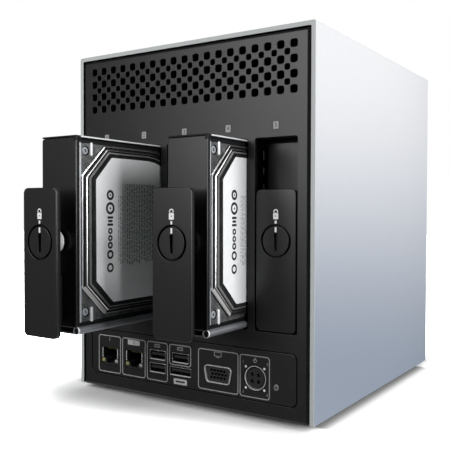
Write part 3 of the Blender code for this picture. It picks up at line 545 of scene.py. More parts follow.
# Near-black paint used as painted shade in grooves, gaps, holes, wells and on slopes that face away from the
# light
PAINTED_SHADE = surface("painted_shade_black", (0.004, 0.004, 0.005), 0.5, relief=0.004, sockets=DULL)
FOIL = surface("label_foil", (0.82, 0.83, 0.84), 0.45, 0.1, grain=0.25, mottle=0.03)
INK = surface("label_ink", (0.006, 0.006, 0.007), 0.5, grain=0.2, mottle=0.2)
GREY_INK = surface("faint_ink", (0.30, 0.30, 0.31), 0.5, grain=0.2, mottle=0.2)
PRINT = surface("pale_print", (0.80, 0.80, 0.79), 0.55, grain=0.15, mottle=0.06)
GREY_PRINT = surface("grey_print", (0.30, 0.30, 0.30), 0.55, grain=0.15)
PAD_PRINT = surface("pad_print", (0.46, 0.46, 0.45), 0.55, grain=0.15, mottle=0.08)
LOCK_METAL = surface("lock_metal", (0.80, 0.80, 0.81), 0.38, 0.35, grain=0.25, relief=0.002, mottle=0.05)
SHIELD = surface("plated_shield", (0.60, 0.60, 0.61), 0.25, 1.0, grain=0.2, mottle=0.06)
BRIGHT_EDGE = surface("bright_edge", (0.62, 0.62, 0.62), 0.4, 0.35, grain=0.2, mottle=0.05)
GOLD = surface("gold_contact", (0.24, 0.18, 0.08), 0.32, 1.0, grain=0.2, mottle=0.05)
RUBBER = surface("foot_rubber", (0.018, 0.018, 0.018), 0.8, grain=0.5, relief=0.02, mottle=0.2)
BOARD = surface("solder_mask", (0.012, 0.085, 0.04), 0.38, grain=1.2, relief=0.01, mottle=0.35)
CHIP = surface("chip_black", (0.012, 0.012, 0.013), 0.5, grain=0.2, relief=0.004)
FINS = surface("extruded_fins", (0.60, 0.61, 0.63), 0.36, 1.0, relief=0.003, stretch=(1, 0.1, 1))
LENS = surface("frosted_lens", (0.72, 0.78, 0.84), 0.35, relief=0.002, sockets=FROSTED)
LED_YELLOW = surface("yellow_lens", (0.29, 0.26, 0.10), 0.3)
LED_CLEAR = surface("clear_lens", (0.33, 0.34, 0.35), 0.3)


def dress_frame():
    """Gives the CAD nodes that stay in view their materials."""
    looks = {
        "base_plate": BLACK_PAINT, "drive_cage": BLACK_PAINT, "backplane": BOARD, "main_board": BOARD,
        "processor_heatsink": FINS, "fan_frame": BLACK, "fan_rotor": CHIP,
    }
    looks.update({f"drive_{bay}_board": BOARD for bay in BAYS})
    for node, material in looks.items():
        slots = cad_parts[node].data.materials
        slots.clear()
        slots.append(material)


# Casing

def bay_x(bay):
    """The middle line of a bay."""
    return (bay - 3) * BAY_PITCH


def build_sleeve():
    """The folded aluminium casing, painted black inside as painted shade that keeps its inside dark through
    the vents, and its bare cut edge at the rear.
    """
    inner = HALF_WIDTH - SLEEVE_WALL
    ceiling = BODY_HEIGHT - SLEEVE_WALL
    outline = mirrored([
        (inner, ceiling, SLEEVE_CORNER / 2), (inner, 0, SLEEVE_FOOT), (HALF_WIDTH, 0, SLEEVE_FOOT),
        (HALF_WIDTH, BODY_HEIGHT, SLEEVE_CORNER),
    ])
    shape = Shape(ALUMINIUM)
    shape.plate(outline, [], SLEEVE_RIM, BODY_DEPTH, 0, back_rim=SLEEVE_RIM)
    # Painted shade: the inner faces are black, so the inside reads dark through the vents
    shape.repaint(BLACK_PAINT, lambda at: abs(at.x) < inner + TOLERANCE and at.z < ceiling + TOLERANCE)
    edge = Shape(CUT_EDGE)
    edge.plate(outline, [], 0, SLEEVE_RIM, SLEEVE_RIM)
    on_unit("sleeve_edge", edge, "sleeve_aluminium")
    return on_unit("sleeve", shape, "sleeve_aluminium", "outer_sleeve")


def vent_outlines():
    """The square vent holes: large ones in rows, small ones between them."""
    first = -(VENT_COLUMNS - 1) * VENT_PITCH / 2
    outlines = []
    for size, shift in ((VENT_LARGE, 0), (VENT_SMALL, 1)):
        for row in range(VENT_ROWS - shift):
            for column in range(VENT_COLUMNS - shift):
                u = first + (column + shift / 2) * VENT_PITCH
                v = VENT_TOP - (row + shift / 2) * VENT_PITCH
                outlines.append(square(u, v, size / 2, size / 2, size * VENT_CORNER_SHARE, 3))
    return outlines


def build_fascia():
    """The rear panel with its vents and bays, and the bay numbers."""
    shape = Shape(CHARCOAL)
    outer = block(0, FASCIA_HALF, 0, FASCIA_TOP, 0.8)
    holes = vent_outlines()
    marks = Shape(BLACK)
    for bay in BAYS:
        u = bay_x(bay)
        holes.append(block(u, BAY_HALF, BAY_LOW, BAY_HIGH, BAY_CORNER))
        marks.use(BLACK).plate(square(u, NUMBER_HEIGHT, 2.1, 2.5, 0.7), [], -PRINT_DEPTH / 2, 0.2, 0)
        marks.use(GREY_PRINT).plate(square(u, NUMBER_HEIGHT, 1.7, 2.1, 0.5), [], -PRINT_DEPTH, 0.2, 0)
        marks.use(INK).words(str(bay), 3.4, u, NUMBER_HEIGHT, -2 * PRINT_DEPTH, 0.1)
    half = PANEL_HALF + PANEL_GROOVE
    holes.append(block(0, half, PANEL_LOW - PANEL_GROOVE, PANEL_HIGH + PANEL_GROOVE, PANEL_CORNER))
    shape.plate(outer, holes, 0, FASCIA_THICKNESS, FASCIA_BEVEL, 0.2)
    on_unit("fascia", shape, "charcoal_plastic", "rear_fascia")
    on_unit("bay_numbers", marks, "charcoal_plastic")


# Sockets

LAN_LOW = 14.7
LAN_HIGH = 27.3
LAN_HALF = 7.0
LAN_DEPTH = 14
INSERT_GAP = 0.15
LAN_SHIELD_HALF = 8
LAN_SHIELD_HIGH = 27.7
LAN_BACK = 21.2
USB_DEPTH = 12
USB_HIGH = 30.1
USB_BACK = 17.7
SOCKET_LOW = 11.4
SOCKET_GAP = 0.2
SHIELD_FRONT = PANEL_THICKNESS + SOCKET_GAP
SHELL = 0.4
LOOSE_FIT = 0.02
HOUSING_SPARE = 0.75
HOUSING_BELOW = 0.8
HOUSING_ABOVE = 0.65
CONTACT_SPREAD = 1.45
USB_HALF = 6.35
ESATA_HALF = 8.2
USB_SOCKET = (23.2, 29.1, USB_HALF, 4)
# Each stack holds its housings, and each housing its openings: bottom, top, half width and contacts.
SOCKET_STACKS = {
    "usb_stack": [[USB_SOCKET, (15.0, 21.0, USB_HALF, 4)]],
    "usb_esata_stack": [[USB_SOCKET], [(15.3, 20.5, ESATA_HALF, 7)]],
}
VGA_HALF = 9.9
VGA_RISE = 5.1
VGA_TAPER = 1.9
VGA_CORNER = 2.2
VGA_SHELL = 0.45
VGA_PROUD = 0.6
VGA_SPARE = 0.3
VGA_FLANGE_HALF = 12.9
VGA_FLANGE_FRONT = 3.3
VGA_BACK = 16.3
VGA_HEIGHT = span("vga_socket")[1].z - BASE - VGA_RISE - VGA_SPARE
PIN_PITCH = 2.3
PIN_STAGGER = 0.9
PIN_RISE = 2.1
PIN_RADIUS = 0.82
POWER_RADIUS = 7.6
POWER_HEIGHT = span("power_socket")[1].z - BASE - POWER_RADIUS
SCREW_RADIUS = 1.8
# Printed frames around the sockets, and the heights of their signs
PRINT_SEAT = 0.15
SIGN_LOW = 10.0
SIGN_HIGH = 34.2
SIGN_CORNER = 1.8
NUMBER_ROW = 31.6
PLUG_ROW = 31.8
SCREEN_ROW = 31.9
POWER_ROW = 31.2


def vga_outline(u, v):
    """The D of the display socket."""
    low = VGA_HALF - VGA_TAPER
    return rounded([
        (u - low, v - VGA_RISE, VGA_CORNER), (u + low, v - VGA_RISE, VGA_CORNER),
        (u + VGA_HALF, v + VGA_RISE, VGA_CORNER), (u - VGA_HALF, v + VGA_RISE, VGA_CORNER),
    ], 6)


def build_port_panel():
    """The inset plate around the sockets."""
    shape = Shape(CHARCOAL)
    holes = []
    for node in ("lan_jack_1", "lan_jack_2"):
        u = middle(node).x
        holes.append(block(u, LAN_HALF, LAN_LOW, LAN_HIGH, 0.4))
    for node, stack in SOCKET_STACKS.items():
        for openings in stack:
            holes.append(housing_outline(middle(node).x, openings, 0.4))
    holes.append(grown(vga_outline(middle("vga_socket").x, VGA_HEIGHT), VGA_SPARE))
    screw = middle("port_panel_screw")
    holes.append(circle(middle("power_socket").x, POWER_HEIGHT, POWER_RADIUS + SOCKET_GAP))
    holes.append(circle(screw.x, screw.z - BASE, SCREW_RADIUS + SOCKET_GAP, 24))
    outer = block(0, PANEL_HALF, PANEL_LOW, PANEL_HIGH, PANEL_CORNER)
    shape.plate(outer, holes, PRINT_DEPTH, PANEL_THICKNESS, 0.35, 0.15)
    on_unit("socket_panel", shape, "charcoal_plastic", "port_panel")


def build_lan_jack(node):
    """A network jack: a plastic insert with a stepped opening, contacts, two lights and a metal shield."""
    shape = Shape(BLACK, shift=(middle(node).x, 0, 0))
    mouth = mirrored([(3.0, 15.8, 0.4), (3.4, 18.2, 0.4), (5.9, 19.6, 0.4), (5.9, 26.3, 0.4)])
    insert = block(0, LAN_HALF - INSERT_GAP, LAN_LOW + INSERT_GAP, LAN_HIGH - INSERT_GAP, 0.3)
    shape.plate(insert, [mouth], 0.5, LAN_DEPTH, 0.2)
    shape.plate(insert, [], LAN_DEPTH, LAN_DEPTH + 1, 0)
    shape.use(SHIELD)
    shield = block(0, LAN_SHIELD_HALF, SOCKET_LOW, LAN_SHIELD_HIGH, 0.4)
    shape.plate(shield, [block(0, LAN_HALF, LAN_LOW, LAN_HIGH, 0.3)], SHIELD_FRONT, LAN_BACK, 0.1)
    # Thin bright strips beside the opening, as painted highlights on its side edges
    shape.use(BRIGHT_EDGE)
    for side in (-1, 1):
        shape.plate(square(side * 6.45, 22.6, 0.28, 3.2, 0.2), [], 0.3, 0.9, 0.1)
    shape.use(GOLD)
    for contact in range(8):
        shape.plate(square(contact - 3.5, 25.3, 0.22, 0.5, 0.1, 2), [], 2.4, 9, 0.1)
    for side, lens in ((-1, LED_YELLOW), (1, LED_CLEAR)):
        shape.use(lens).plate(square(side * 5.6, 17.7, 1.2, 1.0, 0.3), [], 0.3, 1.2, 0.15)
    on_unit(f"{node}_socket", shape, "socket_metal", node)


def housing_outline(u, openings, radius, spare=0.0):
    """The rim of one socket housing around its openings."""
    half = max(opening[2] for opening in openings) + HOUSING_SPARE - spare
    low = min(opening[0] for opening in openings) - HOUSING_BELOW + spare
    high = max(opening[1] for opening in openings) + HOUSING_ABOVE - spare
    return block(u, half, low, high, radius)


def build_usb(node):
    """Stacked sockets: plastic housings, metal shells and contact tongues."""
    shape = Shape(BLACK, shift=(middle(node).x, 0, 0))
    stack = SOCKET_STACKS[node]
    housings = [housing_outline(0, openings, 0.3, 0.15) for openings in stack]
    for housing, openings in zip(housings, stack):
        mouths = [block(0, half, low, high, 0.4) for low, high, half, contacts in openings]
        shape.use(BLACK).plate(housing, mouths, 0.7, USB_DEPTH, 0.15, 0.1)
        shape.plate(housing, [], USB_DEPTH, USB_DEPTH + 1, 0)
        for low, high, half, contacts in openings:
            outer = block(0, half - LOOSE_FIT, low + LOOSE_FIT, high - LOOSE_FIT, 0.4)
            inner = block(0, half - SHELL, low + SHELL, high - SHELL, 0.3)
            shape.use(SHIELD).plate(outer, [inner], 0.3, USB_DEPTH, 0.12)
            root = (low + high) / 2 + 0.4
            shape.use(CHIP).plate(square(0, root, half - 0.95, 0.8, 0.2), [], 1.2, USB_DEPTH, 0.15)
            shape.use(GOLD)
            pitch = CONTACT_SPREAD * half / contacts
            for contact in range(contacts):
                u = (contact - (contacts - 1) / 2) * pitch
                shape.plate(square(u, root - 0.8, 0.5, 0.12, 0.05, 2), [], 2.2, 10, 0.05)
            # A bright strip on the opening's bottom edge, as painted highlight
            shape.use(BRIGHT_EDGE).plate(square(0, low + 0.1, half - 0.6, 0.32, 0.2), [], 0.15, 1.2, 0.15)
    reach = max(opening[2] for openings in stack for opening in openings) + HOUSING_SPARE + 0.3
    shape.use(SHIELD)
    shape.plate(block(0, reach, SOCKET_LOW, USB_HIGH, 0.4), housings, SHIELD_FRONT, USB_BACK, 0.05)
    on_unit(f"{node}_sockets", shape, "socket_metal", node)


def build_vga():
    """The display socket: a bright D-shaped shell round a block with fifteen holes."""
    shape = Shape(BRIGHT_EDGE)
    u = middle("vga_socket").x
    v = VGA_HEIGHT
    outline = vga_outline(u, v)
    shell = grown(outline, -VGA_SHELL)
    shape.plate(outline, [shell], -VGA_PROUD, 4, 0.15)
    flange = block(u, VGA_FLANGE_HALF, SOCKET_LOW, v + VGA_RISE + VGA_SPARE, 0.5)
    shape.plate(flange, [shell], VGA_FLANGE_FRONT, VGA_BACK, 0.1)
    pins = []
    for row in range(3):
        for column in range(5):
            across = u + (column - 2) * PIN_PITCH + (row % 2 - 0.5) * PIN_STAGGER
            pins.append(circle(across, v + (1 - row) * PIN_RISE, PIN_RADIUS, 14))
    shape.use(CHIP).plate(grown(shell, -LOOSE_FIT), pins, 0.7, 12, 0.1, 0.15)
    # The holes' bottoms are near-black, as painted shade in the pin holes
    shape.use(PAINTED_SHADE)
    for pin in pins:
        shape.plate(grown(pin, -LOOSE_FIT), [], 4, 4.5, 0)
    on_unit("vga_socket_face", shape, "socket_metal", "vga_socket")


def build_power():
    """The round power socket: a ring, a recess, and a core with four contacts."""
    shape = Shape(BLACK)
    u = middle("power_socket").x
    v = POWER_HEIGHT
    shape.tube(u, v, [(7.6, 0.5), (7.5, 0.25), (7.1, 0.25), (7.0, 0.4), (7.0, 6.2), (7.6, 6.2)])
    shape.lathe(u, v, [(7.5, 6.2), (7.5, 17)])
    shape.use(BRIGHT_EDGE)
    shape.tube(u, v, [(6.98, 0.3), (6.9, 0.1), (6.6, 0.1), (6.5, 0.3), (6.5, 6.3), (6.98, 6.3)])
    shape.use(BLACK)
    pins = [(u + dx, v + dy) for dx in (-2.1, 2.1) for dy in (-1.9, 1.9)]
    shape.plate(circle(u, v, 5.7), [circle(*pin, 1.05, 18) for pin in pins], 0.5, 6.3, 0.4, 0.2)
    shape.plate(block(u, 5.5, SOCKET_LOW, v, 0.3), [], 6.2, 16.9, 0)
    # The contacts are dark metal, as painted shade in their holes
    shape.use(LID)
    for pin in pins:
        shape.lathe(*pin, [(0.3, 1.5), (0.55, 2.1), (0.55, 6.5)], 14)
    on_unit("power_socket_face", shape, "black_plastic", "power_socket")


def build_panel_screw():
    """The small screw at the panel's right end."""
    shape = Shape(SATIN)
    u = middle("port_panel_screw").x
    v = middle("port_panel_screw").z - BASE
    recess = circle(u, v, 0.75, 6)
    shape.plate(circle(u, v, SCREW_RADIUS, 24), [recess], 0.25, 1.2, 0.25, 0.1)
    shape.plate(circle(u, v, SCREW_RADIUS, 24), [], 1.2, 1.8, 0)
    on_unit("panel_screw", shape, "tray_steel", "port_panel_screw")


def stamp(marks, outline, holes=(), front=0):
    """A printed form, sunk a little into the panel."""
    marks.plate(outline, holes, front, PRINT_SEAT, 0)


def frame_print(marks, u, half, low=SIGN_LOW):
    """A thin printed outline around a socket and its sign."""
    outline = block(u, half, low, SIGN_HIGH, SIGN_CORNER)
    stamp(marks, outline, [grown(outline, -PRINT_LINE)])


def build_port_marks():
    """Printed outlines, label pads and plain signs on the socket panel."""
    marks = Shape(GREY_PRINT)
    lan = [middle("lan_jack_1").x, middle("lan_jack_2").x]
    usb = [middle(node).x for node in SOCKET_STACKS]
    vga = middle("vga_socket").x
    power = middle("power_socket").x
    pad = (usb[1] + 0.2, 11.8)
    for u in lan:
        frame_print(marks, u, 9.7)
    frame_print(marks, usb[0], 8.3)
    frame_print(marks, usb[1], 8.3, 21.5)
    frame_print(marks, vga, 14.2)
    frame_print(marks, power - 0.3, 9.9)
    marks.use(PAD_PRINT)
    stamp(marks, square(lan[1], NUMBER_ROW, 4.9, 1.6, 0.5))
    stamp(marks, square(*pad, 5.0, 1.7, 0.5))
    marks.use(PRINT)
    reach = POWER_RADIUS + 0.95
    for quarter in range(4):
        turn = math.radians(45 + 90 * quarter)
        u = power + reach * math.cos(turn)
        stamp(marks, circle(u, POWER_HEIGHT + reach * math.sin(turn), 0.72, 12))
    marks.use(GREY_PRINT)
    for number, (side, rise) in enumerate(((-1, 1), (1, 1), (-1, -1), (1, -1)), 1):
        marks.words(str(number), 2.2, power + side * 7.9, POWER_HEIGHT + rise * 8.6, 0, PRINT_SEAT)
    marks.words("1", 3.2, lan[0], NUMBER_ROW, 0, PRINT_SEAT)
    for u in usb:
        stamp(marks, square(u, PLUG_ROW, 2.2, 1.0, 0.3), [square(u, PLUG_ROW, 1.8, 0.6, 0.2)])
        for side in (-0.8, 0.8):
            stamp(marks, square(u + side, PLUG_ROW, 0.35, 0.3, 0.1))
    stamp(marks, square(vga, SCREEN_ROW, 2.6, 1.4, 0.3), [square(vga, SCREEN_ROW, 2.2, 1.0, 0.2)])
    stamp(marks, square(vga, SCREEN_ROW - 1.9, 1.3, 0.2, 0.1))
    stamp(marks, circle(power, POWER_ROW, 1.2, 24), [circle(power, POWER_ROW, 0.8, 24)])
    stamp(marks, square(power, POWER_ROW + 0.9, 0.22, 0.8, 0.1), front=-0.02)
    marks.use(INK).words("2", 3.2, lan[1], NUMBER_ROW, -0.03, PRINT_SEAT)
    stamp(marks, square(*pad, 3.4, 0.5, 0.2), front=-0.03)
    on_unit("socket_signs", marks, "charcoal_plastic")


# Trays

def build_handles():
    """The pull plates with their webs and printed signs."""
    shape = Shape(HANDLE_PLASTIC)
    plate = block(0, HANDLE_HALF, HANDLE_LOW, HANDLE_HIGH, HANDLE_CORNER, 6)
    mouth = LOCK_RADIUS + LOCK_GAP
    shape.plate(plate, [circle(0, LOCK_HEIGHT, mouth, 56)], HANDLE_FRONT, HANDLE_BACK, HANDLE_RIM, 0.2, 0.15)
    seat = mouth + 0.3
    lining = mouth - 0.08
    bore = LOCK_BACK + 0.2
    front = HANDLE_FRONT + 0.3
    back = HANDLE_BACK - 0.05
    # A near-black liner in the lock's ring groove, as painted shade in the groove
    shape.use(PAINTED_SHADE).tube(0, LOCK_HEIGHT, [
        (seat, front), (lining, front), (lining, LOCK_LEDGE), (bore, LOCK_LEDGE), (bore, back), (seat, back),
    ], 56)
    shape.use(HANDLE_PLASTIC)
    web = block(0, WEB_HALF, WEB_LOW, WEB_HIGH, 1.0)
    shape.plate(web, [], HANDLE_BACK - 0.5, FACE_FRONT - 0.3, 0)
    on_trays("handle", shape, "charcoal_plastic", "tray_{}_handle")
    marks = Shape(PRINT)
    front = HANDLE_FRONT - PRINT_DEPTH
    back = HANDLE_FRONT + 0.2
    marks.plate(block(0, 0.6, 108.5, 110.2, 0.25), [], front, back, 0)
    marks.plate(block(0, 1.6, 110.9, 114.3, 0.4), [circle(0, 112.7, 0.35, 12)], front, back, 0)
    arch = mirrored([(1.45, 114.6, 0.05), (1.45, 116.5, 1.4)], 6)()
    gap = mirrored([(0.85, 114.5, 0.05), (0.85, 115.9, 0.8)], 6)()
    rings = [marks.ring(*level) for level in ((arch, front), (gap, front), (gap, back), (arch, back))]
    marks.bands(rings + rings[:1])
    on_trays("lock_sign", marks, "charcoal_plastic")


def build_locks():
    """The turning locks: a slotted face, a neck, a bright collar and a tongue."""
    shape = Shape(HANDLE_PLASTIC, shift=(0, 0, LOCK_HEIGHT))
    slot = mirrored([(0.75, -5.4, 0.6), (1.2, 4.4, 0.6)])
    shape.plate(circle(0, 0, LOCK_RADIUS, 56), [slot], HANDLE_FRONT, LOCK_LEDGE - 0.1, 0.25, 0.15)
    shape.use(BLACK_PAINT).lathe(0, 0, [(LOCK_BACK, LOCK_LEDGE - 0.1), (LOCK_BACK, HANDLE_BACK)], 56)
    shape.lathe(0, 0, [(LOCK_NECK, HANDLE_BACK - 0.2), (LOCK_NECK, COLLAR_DEPTH + 0.1)])
    back = COLLAR_DEPTH + COLLAR_THICKNESS
    shape.lathe(0, 0, [(BARREL_RADIUS, back - 0.1), (BARREL_RADIUS, FACE_BACK)])
    tongue = block(0, TONGUE_HALF, -TONGUE_REACH, 0, 0.8)
    shape.plate(tongue, [], TONGUE_FRONT, TONGUE_BACK, 0.2, back_rim=0.2)
    shape.use(LOCK_METAL)
    shape.lathe(0, 0, [(LOCK_NECK, COLLAR_FRONT), (COLLAR_RADIUS, COLLAR_DEPTH), (COLLAR_RADIUS, back)], 56)
    shape.use(PRINT)
    shape.plate(block(0, 0.6, 4.9, 7.7, 0.25), [], HANDLE_FRONT - PRINT_DEPTH, HANDLE_FRONT + 0.2, 0)
    on_trays("lock", shape, "lock_metal", "tray_{}_lock", "lock")


def build_faces():
    """The plates that close the bays behind the handles."""
    shape = Shape(HANDLE_PLASTIC)
    plate = block(0, FACE_HALF, FACE_LOW, FACE_HIGH, 1.5)
    hole = circle(0, LOCK_HEIGHT, BARREL_RADIUS + 0.4)
    shape.plate(plate, [hole], FACE_FRONT, FACE_BACK, 0.5, 0.2)
    on_trays("face", shape, "charcoal_plastic", "tray_{}_face")


def build_tray_frames():
    """The bent steel trays: a dark front wall, a lipped upper flange, a floor with pads and two rails, each
    with a bright ring at its front end as painted highlight.
    """
    shape = Shape(STEEL)
    half = FACE_HALF
    inner = half - SHEET
    wall_end = FRAME_FRONT + SHEET
    rail_x = half - RAIL_RADIUS
    rail_height = TRAY_LOW + RAIL_RADIUS
    for side in (-1, 1):
        rail = circle(side * rail_x, rail_height, RAIL_RADIUS, 28)
        bore = circle(side * rail_x, rail_height, RAIL_RADIUS - RAIL_SHEET, 28)
        shape.use(STEEL).plate(rail, [bore], FRAME_FRONT + RAIL_HIGHLIGHT_RING, TRAY_END, 0.1, back_rim=0.1)
        # A bright zinc ring at the rail's front end, as painted highlight
        shape.use(ZINC).plate(rail, [bore], FRAME_FRONT, FRAME_FRONT + RAIL_HIGHLIGHT_RING, 0.1)
    shape.use(STEEL).plate(block(0, rail_x - 1, TRAY_LOW, TRAY_LOW + SHEET, 0.2), [], wall_end, TRAY_END, 0)
    shape.use(BLACK_PAINT)
    wall = block(0, half, rail_height + RAIL_RADIUS, TRAY_HIGH, 1.2)
    shape.plate(wall, [], FRAME_FRONT, wall_end, 0.15)
    shape.plate(block(0, half, CAP_LOW, TRAY_HIGH, 0.4), [], CAP_FRONT, CAP_BACK, 0.2)
    knob = block(half - KNOB_HALF, KNOB_HALF, KNOB_LOW, TRAY_HIGH - 0.2, 0.5)
    shape.plate(knob, [], CAP_FRONT - 0.4, CAP_BACK - 0.1, 0.3)
    shape.use(ZINC)
    lip = mirrored([
        (inner, TRAY_HIGH - SHEET, 0.04), (inner, LIP_LOW, 0.04),
        (half, LIP_LOW, 0.1), (half, TRAY_HIGH, 0.6),
    ])
    shape.plate(lip, [], CAP_BACK, TRAY_END, 0, back_rim=0.15)
    shape.use(RUBBER)
    pad = block(0, PAD_HALF, TRAY_LOW + SHEET - 0.1, DRIVE_LOW - 0.3, 0.4)
    for number in range(3):
        depth = DRIVE_FRONT + PAD_FIRST + number * PAD_PITCH
        shape.plate(pad, [], depth - PAD_HALF, depth + PAD_HALF, 0.3, back_rim=0.3)
    on_trays("tray", shape, "tray_steel", "tray_{}_frame")


# Drives, seen from their lid side: across is the depth behind the drive's front edge

BAND_OUTER = [
    (2.1, 73.9, 2.0), (19.4, 57.7, 2.0), (112, 57.7, 14.0), (112, 115, 16.0), (73, 151.3, 36.0),
    (19.5, 151.3, 2.0), (2.1, 134.1, 2.0),
]
BAND_INNER = [
    (13.1, 76.6, 0.6), (26.5, 63.8, 0.6), (104, 63.8, 10.0), (104, 112, 14.0), (70, 145.2, 32.0),
    (25.3, 145.2, 0.6), (12.8, 132.4, 0.6),
]
# The lid's rim from its outer edge to the label: share of the way, rise over the flange, material. The
# slopes that rise from the edge are light as painted highlight, and the slopes that fall back are near-black
# as painted shade
LID_SLOPES = (
    (0.09, 0.35, POLISHED_HIGHLIGHT), (0.315, 0.0, PAINTED_SHADE), (0.39, 0.41, POLISHED_HIGHLIGHT), (0.53, 0.15, PAINTED_SHADE),
    (0.67, 0.40, SATIN), (0.71, 0.25, PAINTED_SHADE), (1.0, 0.25, LID),
)
LID_SEAT = 0.05
# The flat crest along the lid's lower front corner, warm grey as a painted reflection of the floor
CREST_NEAR = 0.03
CREST_FAR = 0.26
CREST_RISE = 0.37
# The label's rings, as height, radius and line, its columns of short strokes and its stripes
RING_COLUMN = 24
LABEL_RINGS = (
    (124.2, 2.9, 1.45), (116.8, 3.5, 1.45), (104.0, 1.8, 1.1), (100.0, 1.8, 1.1), (96.0, 2.0, 1.2),
    (90.8, 2.6, 1.3), (83.4, 2.7, 1.2),
)
LABEL_COLUMNS = 22
LABEL_FIRST = 31
LABEL_PITCH = 1.5
LABEL_TOP = 131.0
LABEL_END = 86
STRIPES_MIDDLE = 83
STRIPES_HALF = 5
STRIPES_TOP = 128.0
STRIPES_END = 72
# The chips on a drive's board, as place and half sizes
DRIVE_CHIPS = (
    (60, 100, 9, 9), (84, 120, 6, 4), (84, 92, 5, 7), (104, 110, 4, 4), (100, 84, 6, 3), (40, 80, 3, 3),
    (120, 74, 3, 9),
)


def side_shape(material):
    """A shape on the lid side of a drive; depth is measured from the lid's face."""
    return Shape(material, RIGHT_FACING, (LID_FACE, DRIVE_FRONT, 0))


def screw_head(shape, u, v, depth, radius):
    """A screw head with a six-pointed recess."""
    star = []
    for point in range(12):
        turn = math.pi * point / 6
        reach = radius * (0.5 if point % 2 else 0.36)
        star.append((u + reach * math.cos(turn), v + reach * math.sin(turn), 0.1))
    shape.plate(circle(u, v, radius, 28), [rounded(star, 2)], depth, depth + 0.9, 0.3, 0.08)
    shape.plate(circle(u, v, radius - 0.1, 28), [], depth + 0.9, depth + 1.2, 0)


def build_castings():
    """The drives' cast bodies: a machined border, a rough floor with screws, and bright ribs; the border's
    outer bands, its top and bottom strips, the ledge and the screw wells are near-black as painted shade.
    """
    shape = side_shape(CASTING)
    outer = block(DRIVE_LENGTH / 2, DRIVE_LENGTH / 2, DRIVE_LOW, DRIVE_HIGH, 3.0)
    floor = LID_FACE - CASTING_RIGHT
    back = LID_FACE - CASTING_LEFT
    border = 2.3
    rise = 0.5
    levels = [(floor + 1.1, 0.0), (floor + 0.75, -0.05), (floor + 0.6, -0.2), (floor, -border)]
    rings = [shape.ring(outer(grow), depth) for depth, grow in levels]
    # The two outer bands are painted shade in the gap between the tray's face and the drive; the third is
    # the machined border
    for near, far, material in zip(rings, rings[1:], (PAINTED_SHADE, PAINTED_SHADE, MACHINED)):
        shape.use(material).band(near, far)
    shape.use(PAINTED_SHADE)
    ledge = shape.ring(outer(-border - 0.3), floor + rise)
    shape.band(rings[-1], ledge)
    # Painted shade on the border's top and bottom strips, next to the tray's lip and floor
    shape.repaint(PAINTED_SHADE, lambda at: not DRIVE_LOW + border < at.z < DRIVE_HIGH - border)
    wells = [(u, v) for u in (SCREW_INSET, DRIVE_LENGTH - SCREW_INSET) for v in WELL_HEIGHTS]
    shape.use(CASTING)
    rims = [shape.ring(circle(u, v, WELL_RADIUS, 28)(), floor + rise) for u, v in wells]
    shape.fill([ledge] + rims)
    # Painted shade in the screw wells
    shape.use(PAINTED_SHADE)
    for rim, (u, v) in zip(rims, wells):
        bottom = shape.ring(circle(u, v, WELL_RADIUS - 0.1, 28)(), floor + rise + WELL_DEPTH)
        shape.band(rim, bottom)
        shape.fill([bottom])
    shape.use(CASTING)
    far = shape.ring(outer(0.0), back - 0.5)
    end = shape.ring(outer(-0.5), back)
    shape.bands([rings[0], far, end])
    shape.fill([end])
    shape.use(MACHINED)
    for u, v in wells:
        screw_head(shape, u, v, floor + rise + 0.3, 2.1)
    shape.use(ZINC)
    for u in (RIB_INSET, DRIVE_LENGTH - RIB_INSET):
        for low, high in RIB_SPANS:
            shape.plate(block(u, RIB_HALF, low, high, 0.9), [], floor - 0.3, floor + 1, 0.8)
    on_trays("drive_casting", shape, "drive_casting", "drive_{}_body")


def build_lids():
    """The drives' stamped lids: a flat flange and a stepped rim round the label, whose slopes carry painted
    highlight and shade, and a crest painted as a reflection of the floor.
    """
    shape = side_shape(LID)
    margin = 2.1
    cut = 17.4
    low = DRIVE_LOW + margin + 2.8
    high = DRIVE_HIGH - margin - 1.0
    near = margin
    far = DRIVE_LENGTH - margin
    flange = rounded([
        (near, low + cut, 1.0), (near + cut, low, 1.0), (far - cut, low, 1.0), (far, low + cut, 1.0),
        (far, high - cut, 1.0), (far - cut, high, 1.0), (near + cut, high, 1.0), (near, high - cut, 1.0),
    ])
    thickness = LID_FACE - LID_BACK
    shape.plate(flange, [], thickness - 0.2, thickness, 0.1)
    last = shape.ring(rounded(BAND_OUTER)(), thickness - LID_SEAT)
    for share, rise, material in LID_SLOPES:
        shape.use(material)
        corners = between(BAND_OUTER, BAND_INNER, share)
        ring = shape.ring(rounded(corners)(), thickness - LID_SEAT - rise)
        shape.band(last, ring)
        last = ring
    shape.fill([last])
    near = between(BAND_OUTER, BAND_INNER, CREST_NEAR)
    far = between(BAND_OUTER, BAND_INNER, CREST_FAR)
    crest = rounded([(*corner[:2], 0.3) for corner in (near[0], near[1], far[1], far[0])])
    shape.use(CREST_REFLECTION).plate(crest, [], thickness - LID_SEAT - CREST_RISE, thickness - LID_SEAT, 0.25)
    on_trays("drive_lid", shape, "drive_lid", "drive_{}_cover")


